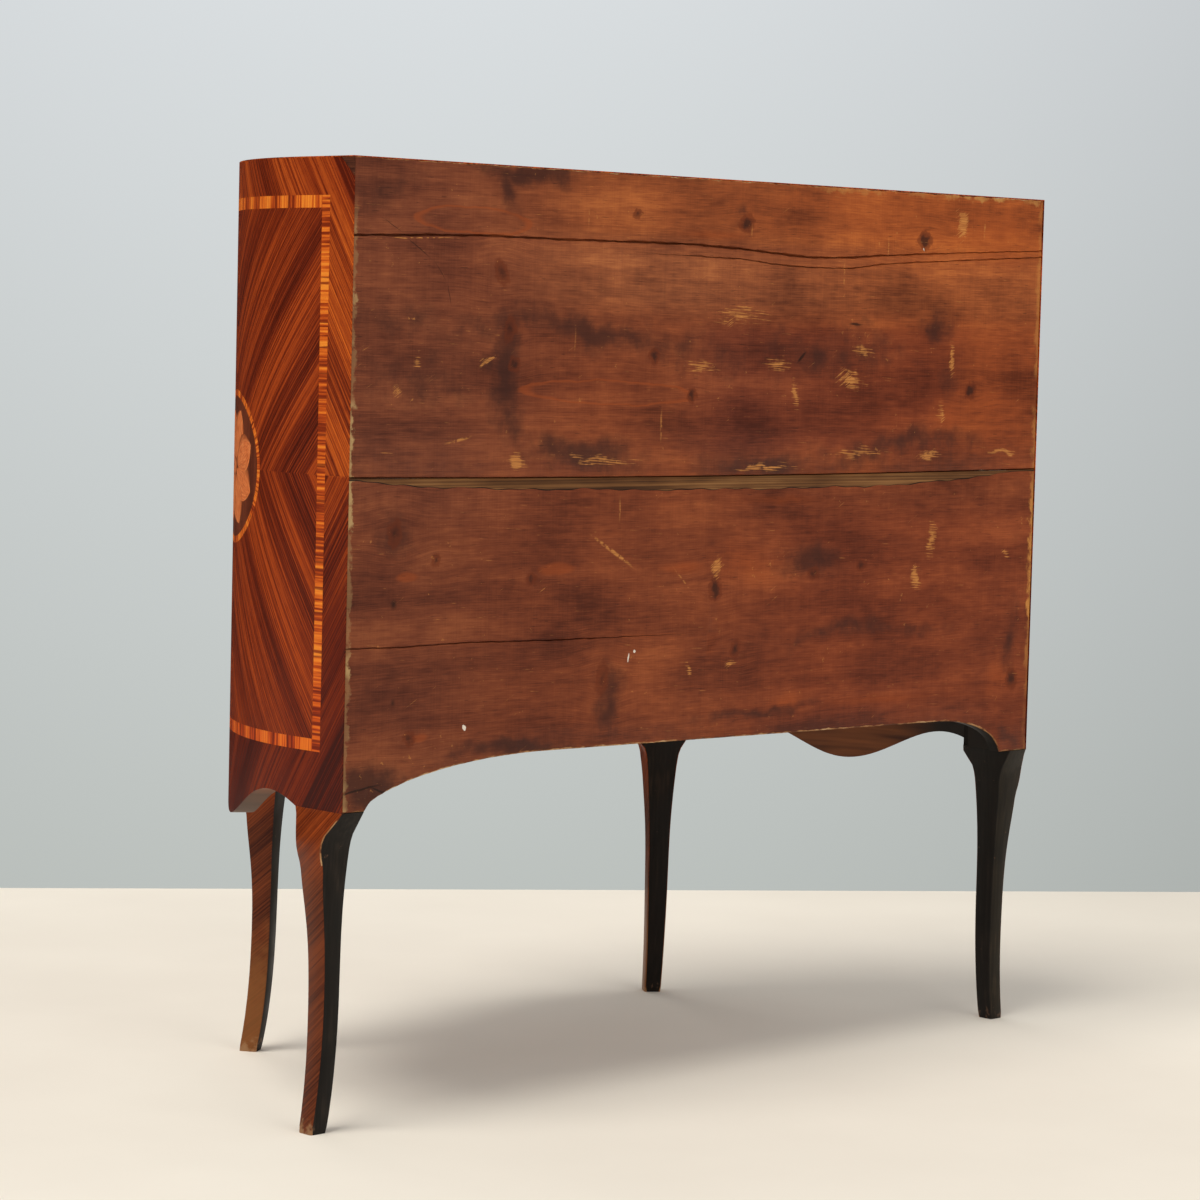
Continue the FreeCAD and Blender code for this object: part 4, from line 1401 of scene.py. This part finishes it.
def leg(node, angle, side, stained, wing_end=0.0, worn_corner=None):
    """A leg as a loft of its sections, and its post or stile above as packed. stained gives the finish of
    the faces that aren't veneered; a worn corner shows bare wood between two levels."""
    outward = Vector((side * math.sin(angle), -math.cos(angle), 0))
    along = Vector((side * math.cos(angle), math.sin(angle), 0))
    bm = bmesh.new()
    grain = bm.loops.layers.uv.new("grain")
    sections = leg_sections(node, outward, along, wing_end)
    rings = [leg_ring(bm, level, section, outward, along) for level, section in sections]
    cosine, sine = math.cos(LEG_GRAIN), math.sin(LEG_GRAIN)
    for number, face in lofted(bm, rings):
        corner, step = divmod(number, ARRIS_STEPS)
        flat = step == ARRIS_STEPS - 1
        neighbours = (corner,) if flat else ((corner - 1) % 4, corner)
        face.material_index = min(stained.get(neighbour, VENEERED) for neighbour in neighbours)
        level = min(vertex.co.z for vertex in face.verts)
        if worn_corner == corner and not flat and ARRIS_WORN[0] < level < ARRIS_WORN[1]:
            face.material_index = RUBBED
        for loop in face.loops:
            place = loop.vert.co
            across = place.dot(outward) - place.dot(along)
            loop[grain].uv = cosine * across - sine * place.z, cosine * place.z + sine * across
    for end in (rings[0][::-1], rings[-1]):
        bm.faces.new(end).material_index = STAINED
    add_post(bm, node)
    mesh = finished_mesh(node, bm, sharp_degrees=40)
    piece(node + "_shaped", mesh, LEG_FINISHES, "case", [node])


def add_post(bm, node):
    """The part of a leg inside the case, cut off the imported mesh."""
    post, _ = cut_mesh(node, LEG_TOP + POST_GAP, clear_inner=True)
    bmesh.ops.remove_doubles(post, verts=post.verts, dist=SAME_PLACE)
    bmesh.ops.holes_fill(post, edges=post.edges, sides=0)
    upper = bpy.data.meshes.new(node + "_post")
    post.to_mesh(upper)
    post.free()
    start = len(bm.faces)
    bm.from_mesh(upper)
    bm.faces.ensure_lookup_table()
    for face in bm.faces[start:]:
        face.material_index = POST
    bpy.data.meshes.remove(upper)


FILLER_LOW = Vector((0.478, 0.1615, LEG_TOP - 0.005))
FILLER_HIGH = Vector((0.4985, 0.190, LEG_TOP + 0.050))


def filler(name, side):
    """A small block over a back leg's front wing, against the side panel, black where it faces inwards."""
    bm = bmesh.new()
    size = FILLER_HIGH - FILLER_LOW
    bmesh.ops.create_cube(bm, size=1.0, matrix=Matrix.Diagonal((*size, 1)))
    middle = (FILLER_LOW + FILLER_HIGH) / 2
    middle.x *= side
    bmesh.ops.translate(bm, verts=bm.verts, vec=middle)
    for face in bm.faces:
        face.material_index = 1 if face.normal.x * side > 0.5 or face.normal.y < -0.5 else 0
    piece(name, finished_mesh(name, bm), [BLACK, CASE_WOOD], "case")


def legs():
    """Four legs, and the block beside the left back one."""
    leg("back_leg_right", math.pi / 2, 1, {BACKWARD: STAINED, INNER: STAINED}, worn_corner=BACKWARD)
    leg("back_leg_left", math.pi / 2, -1, {BACKWARD: WORN, INNER: STAINED}, WING_END)
    for side, name in ((1, "right"), (-1, "left")):
        leg("front_leg_" + name, FRONT_LEG_ANGLE, side, {INNER: STAINED}, WING_END)
    filler("wing_filler_left", -1)


BOARD_STEP = 0.0045
EDGE_WEAR = 0.0012
CRACK_HALF_WIDTH = 0.0014
CRACK_DEPTH = 0.0045
# Height of the painted shadow line under the planed strip
STRIP_SHADOW = 0.0006
STRIP_WAVE = 0.0014
STRIP_LEAST = 0.001
BEVEL_SHARE = 0.35
BEVEL_MOST = 0.0035
END_STEP = 0.0015
FACE_WAVE = 0.00025
WAVE_SHARES = (0.25, 0.5, 0.75)
WAVE_LEAST = 0.02
BOARD_GAP = 0.0012
# Finishes of a board's rows; DARK also paints a shadow line under the planed strip
FACE, UPPER_EDGE, ARCH_EDGE, DARK = range(4)


def crack_rows(points, x, opening):
    """(depth, level) of the three rows of a crack: its lips and its bottom."""
    middle = curve_level(points, x) + 0.0005 * ripple(x * 90, 3)
    width = CRACK_HALF_WIDTH * opening * (1 + 0.45 * ripple(x * 60, 1)) + THINNEST
    return [(0.0, middle - width), (CRACK_DEPTH * opening, middle), (0.0, middle + width)]


def board_rows(x, bottom, top_level, cracks, strip, half):
    """(depth, level) of the rows of a board's face at one place, from its lower edge to its upper edge."""
    wear = EDGE_WEAR * (1.2 + 0.8 * ripple(x * 130, 5))
    rows = [(wear, bottom), (0.0, bottom + wear)]
    marks = [bottom]
    for points, opening in cracks:
        crack = crack_rows(points, x, opening(x))
        marks += [row[1] for row in crack]
        rows += crack
    marks.append(top_level)
    for lower, upper in zip(marks, marks[1:]):
        if upper - lower > WAVE_LEAST:
            for share in WAVE_SHARES:
                level = blend_value(lower, upper, share)
                rows.append((FACE_WAVE * (1 + ripple(x * 17 + level * 60, 2)), level))
    drop, bevel = strip(x) if strip else (wear, wear)
    shadow = STRIP_SHADOW * (1.1 + ripple(x * 31, 6))
    rows += [(0.0, top_level - drop - shadow), (0.0, top_level - drop), (bevel, top_level)]
    rows.sort(key=lambda row: row[1])
    end_drop = EDGE_WEAR if abs(x) > half - 0.001 else 0.0
    return [(max(depth, end_drop), level) for depth, level in rows]


def board(name, low, high, cracks, node, strip=None):
    """A back board as a loft of upright sections, with worn edges, cracks and perhaps a planed strip."""
    box_low, box_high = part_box(node)
    thickness = box_high.y - box_low.y
    half = box_high.x
    count = round(2 * half / BOARD_STEP)
    stations = [half - 2 * half * number / count for number in range(count + 1)]
    stations[1:1] = [half - END_STEP]
    stations[-1:-1] = [END_STEP - half]
    bm = bmesh.new()
    sections = []
    for x in stations:
        bottom, top_level = low(x), high(x)
        rows = board_rows(x, bottom, top_level, cracks, strip, half)
        loop = [(thickness, bottom)] + rows + [(thickness, top_level)]
        sections.append([bm.verts.new((x, BACK_Y - depth, level)) for depth, level in loop])
    size = len(sections[0])
    row_finishes = {size - 3: UPPER_EDGE}
    if strip:
        # The underside is dark, and the row under the planed strip is a painted shadow line
        row_finishes.update({0: DARK, 1: ARCH_EDGE, size - 4: DARK})
    for number, face in lofted(bm, sections):
        face.material_index = row_finishes.get(number, FACE)
    bm.faces.new(sections[0])
    bm.faces.new(sections[-1][::-1])
    materials = [PINE, PLANED if strip else BARE, BARE, BLACK]
    mesh = finished_mesh(name, bm, sharp_degrees=50)
    piece(name, mesh, materials, "case", [node])


JOINT_SAG = 0.003


def joint_level(x):
    """Level of the joint between the back boards, which dips a little in the middle."""
    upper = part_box("back_board_upper")[0].z
    return upper - JOINT_SAG * (1 - (x / HALF_WIDTH) ** 2)


ARCH_RISE_RIGHT = 0.044
ARCH_RISE_LEFT = 0.040
ARCH_SWEEP_RIGHT = 0.230
ARCH_SWEEP_LEFT = 0.108
ARCH_FOOT_RIGHT = 0.028
ARCH_FOOT_LEFT = 0.048
ARCH_POWER = 0.62


def arch_level(x):
    """Level of the lower board's edge: an arch with one long and one short haunch."""
    right_foot = HALF_WIDTH - ARCH_FOOT_RIGHT
    left_foot = HALF_WIDTH - ARCH_FOOT_LEFT
    right_spring = right_foot - ARCH_SWEEP_RIGHT
    left_spring = -left_foot + ARCH_SWEEP_LEFT
    if x >= right_foot or x <= -left_foot:
        return LEG_TOP
    if x > right_spring:
        share = (x - right_spring) / ARCH_SWEEP_RIGHT
        return LEG_TOP + ARCH_RISE_RIGHT * (1 - share * share) ** ARCH_POWER
    if x < left_spring:
        share = (left_spring - x) / ARCH_SWEEP_LEFT
        return LEG_TOP + ARCH_RISE_LEFT * math.sqrt(1 - share * share)
    share = (x - left_spring) / (right_spring - left_spring)
    return LEG_TOP + blend_value(ARCH_RISE_LEFT, ARCH_RISE_RIGHT, share)


def back_boards():
    """The two back boards, with their cracks and the planed strip along the joint."""

    def upper_opening(x):
        return blend_value(0.5, 1.0, smooth_step(x, -0.45, -0.05))

    def second_opening(x):
        return 0.55 * smooth_step(-x, -0.16, 0.0)

    def lower_opening(x):
        return 0.55 * smooth_step(x, 0.0, 0.22)

    upper_cracks = ((SECOND_CRACK, second_opening), (UPPER_CRACK, upper_opening))
    board("back_board_upper_worn", joint_level, fixed(CASE_TOP - TOP_EDGE), upper_cracks, "back_board_upper")
    lower_cracks = ((LOWER_CRACK, lower_opening),)

    def lower_top(x):
        return joint_level(x) - BOARD_GAP

    def strip(x):
        drop = max(curve_level(PLANED_STRIP, x) + STRIP_WAVE * ripple(x * 37, 4), STRIP_LEAST)
        return drop, min(BEVEL_SHARE * drop, BEVEL_MOST)

    board("back_board_lower_worn", arch_level, lower_top, lower_cracks, "back_board_lower", strip)


def finish_nodes():
    """Materials for every CAD node that stays in view."""
    finishes = {
        "back_pine": PINE,
        "case_wood": CASE_WOOD,
        "veneer": FIELD,
        "leg_wood": LEG_VENEER,
        "drawer_wood": DRAWER_WOOD,
        "brass": BRASS,
        "iron": IRON,
    }
    for name, node in nodes.items():
        for slot in node.material_slots:
            finish = finishes[slot.material.name.split(".")[0]]
            if name.startswith("side_panel"):
                finish = PANEL_WOOD
            elif finish is DRAWER_WOOD and "_side_" in name:
                finish = DRAWER_SIDE
            slot.material = finish


def camera():
    """The photograph's camera."""
    forward = Vector((
        math.cos(CAMERA_PITCH) * math.sin(CAMERA_YAW),
        math.cos(CAMERA_PITCH) * math.cos(CAMERA_YAW),
        math.sin(CAMERA_PITCH),
    ))
    level = forward.cross(Vector((0, 0, 1))).normalized()
    down = forward.cross(level)
    right = level * math.cos(CAMERA_ROLL) + down * math.sin(CAMERA_ROLL)
    up = level * math.sin(CAMERA_ROLL) - down * math.cos(CAMERA_ROLL)
    data = bpy.data.cameras.new("camera")
    data.sensor_width = SENSOR
    data.lens = LENS
    scene.camera = added("camera", data)
    turn = Matrix((right, up, -forward)).transposed()
    scene.camera.matrix_world = Matrix.Translation(CAMERA_PLACE) @ turn.to_4x4()


# The far edge of the floor as the photograph shows it, half the floor's width, and its depth in such halves
FLOOR_FAR_LEFT = Vector((-0.112, BACK_Y - 1.458, 0))
FLOOR_FAR_RIGHT = Vector((-1.476, BACK_Y - 0.483, 0))
FLOOR_REACH = 9.0
FLOOR_DEPTH = 1.5


def floor():
    """A plain pale floor that ends behind the object where the photograph's wall begins."""
    along = (FLOOR_FAR_RIGHT - FLOOR_FAR_LEFT).normalized() * FLOOR_REACH
    near = Vector((-along.y, along.x, 0)) * FLOOR_DEPTH
    if near.dot(CAMERA_PLACE) < 0:
        near.negate()
    middle = (FLOOR_FAR_LEFT + FLOOR_FAR_RIGHT) / 2
    corners = [middle - along, middle + along, middle + along + near, middle - along + near]
    mesh = bpy.data.meshes.new("floor")
    mesh.from_pydata(corners, [], [(0, 1, 2, 3)])
    g = Graph("pale_floor")
    place = g.place()
    cloud = g.noise(place, 3.0, 4.0)
    colour = g.ramp(cloud, (0.3, (0.835, 0.775, 0.672)), (0.7, (0.875, 0.816, 0.710)))
    # Painted shade: the floor darker towards -x, away from the object
    colour = tinted(g, g.between(g.split(place)[0], -0.5, -1.7), colour, (0.82, 0.82, 0.82))
    mesh.materials.append(g.set(Base_Color=colour, Roughness=0.75, Specular_IOR_Level=0.2))
    made = added("floor", mesh)


AMBIENT = 0.48
WALL_LOW = -0.155
WALL_HIGH = 0.090
WALL_HALF = 0.160
WALL_ACROSS = (math.cos(CAMERA_YAW), -math.sin(CAMERA_YAW), 0)


class WorldGraph(Graph):
    """The nodes of the world."""

    def __init__(self, name):
        self.world = bpy.data.worlds.new(name)
        self.world.use_nodes = True
        self.tree = self.world.node_tree
        self.tree.nodes.clear()

    def light(self, colour, strength):
        return self.node("Background", {"Color": colour, "Strength": strength}).outputs[0]

    def choose(self, share, first, second):
        return self.node("MixShader", {0: share, 1: first, 2: second}).outputs[0]


def world():
    """A grey-blue wall as the background, soft even light on the object, and a dim room for it to mirror."""
    g = WorldGraph("studio")
    scene.world = g.world
    direction = g.node("TexCoord").outputs["Generated"]
    height = g.split(direction)[2]
    across = g.node("VectorMath", {0: direction, 1: WALL_ACROSS}, operation="DOT_PRODUCT").outputs["Value"]
    across = g.times(across, 1 / WALL_HALF)
    rise = g.math("DIVIDE", g.add(height, -WALL_LOW), WALL_HIGH - WALL_LOW)
    wall = g.ramp(rise, (0.0, (0.500, 0.530, 0.508)), (1.0, (0.690, 0.722, 0.740)))
    side = g.math("MINIMUM", g.math("ABSOLUTE", across), 1.0)
    slant = g.node("Clamp", {0: across, 1: -1.0}).outputs[0]
    fall = g.add(g.times(g.times(side, side), 0.09), g.times(slant, 0.07))
    shade = g.math("SUBTRACT", 1.0, fall)
    path = g.node("LightPath")
    seen = g.light(wall, shade)
    mirrored = g.light((1.0, 0.98, 0.95, 1), g.between(height, 0.30, 0.80, 0.03, 0.75))
    ambient = g.light((0.97, 0.98, 1.0, 1), AMBIENT)
    glossy = g.choose(path.outputs["Is Glossy Ray"], ambient, mirrored)
    shown = g.choose(path.outputs["Is Camera Ray"], glossy, seen)
    g.node("OutputWorld", {0: shown})


def aimed(name, data, place, target, mirrored=True):
    made = added(name, data)
    made.visible_glossy = mirrored
    made.location = place
    made.rotation_mode = "QUATERNION"
    made.rotation_quaternion = (target - made.location).to_track_quat("-Z", "Y")


def lamp(name, place, size, power, colour):
    """A square soft box that faces the middle of the object and isn't mirrored in it."""
    data = bpy.data.lights.new(name, "AREA")
    data.shape = "SQUARE"
    data.size = size
    data.energy = power
    data.color = colour
    aimed(name, data, place, Vector((0, 0, CASE_TOP / 2)), mirrored=False)


def lights():
    """An even overhead light, a fill from the camera's side and a weak one from the front."""
    overhead = bpy.data.lights.new("overhead", "SUN")
    overhead.energy = 1.8
    overhead.angle = math.radians(30)
    overhead.color = (1.0, 0.97, 0.92)
    aimed("overhead", overhead, Vector((1.75, 0.1, 3.4)), Vector((0, 0, 0)))
    lamp("fill", Vector((0.4, 4.8, 2.2)), size=3.0, power=62.0, colour=(1.0, 0.98, 0.95))
    lamp("front_fill", Vector((-1.2, -4.8, 2.4)), size=2.4, power=40.0, colour=(1.0, 0.98, 0.96))


scene.view_settings.view_transform = "Standard"
camera()
floor()
world()
lights()
finish_nodes()
sides()
drawers()
front_strips()
top()
legs()
back_boards()
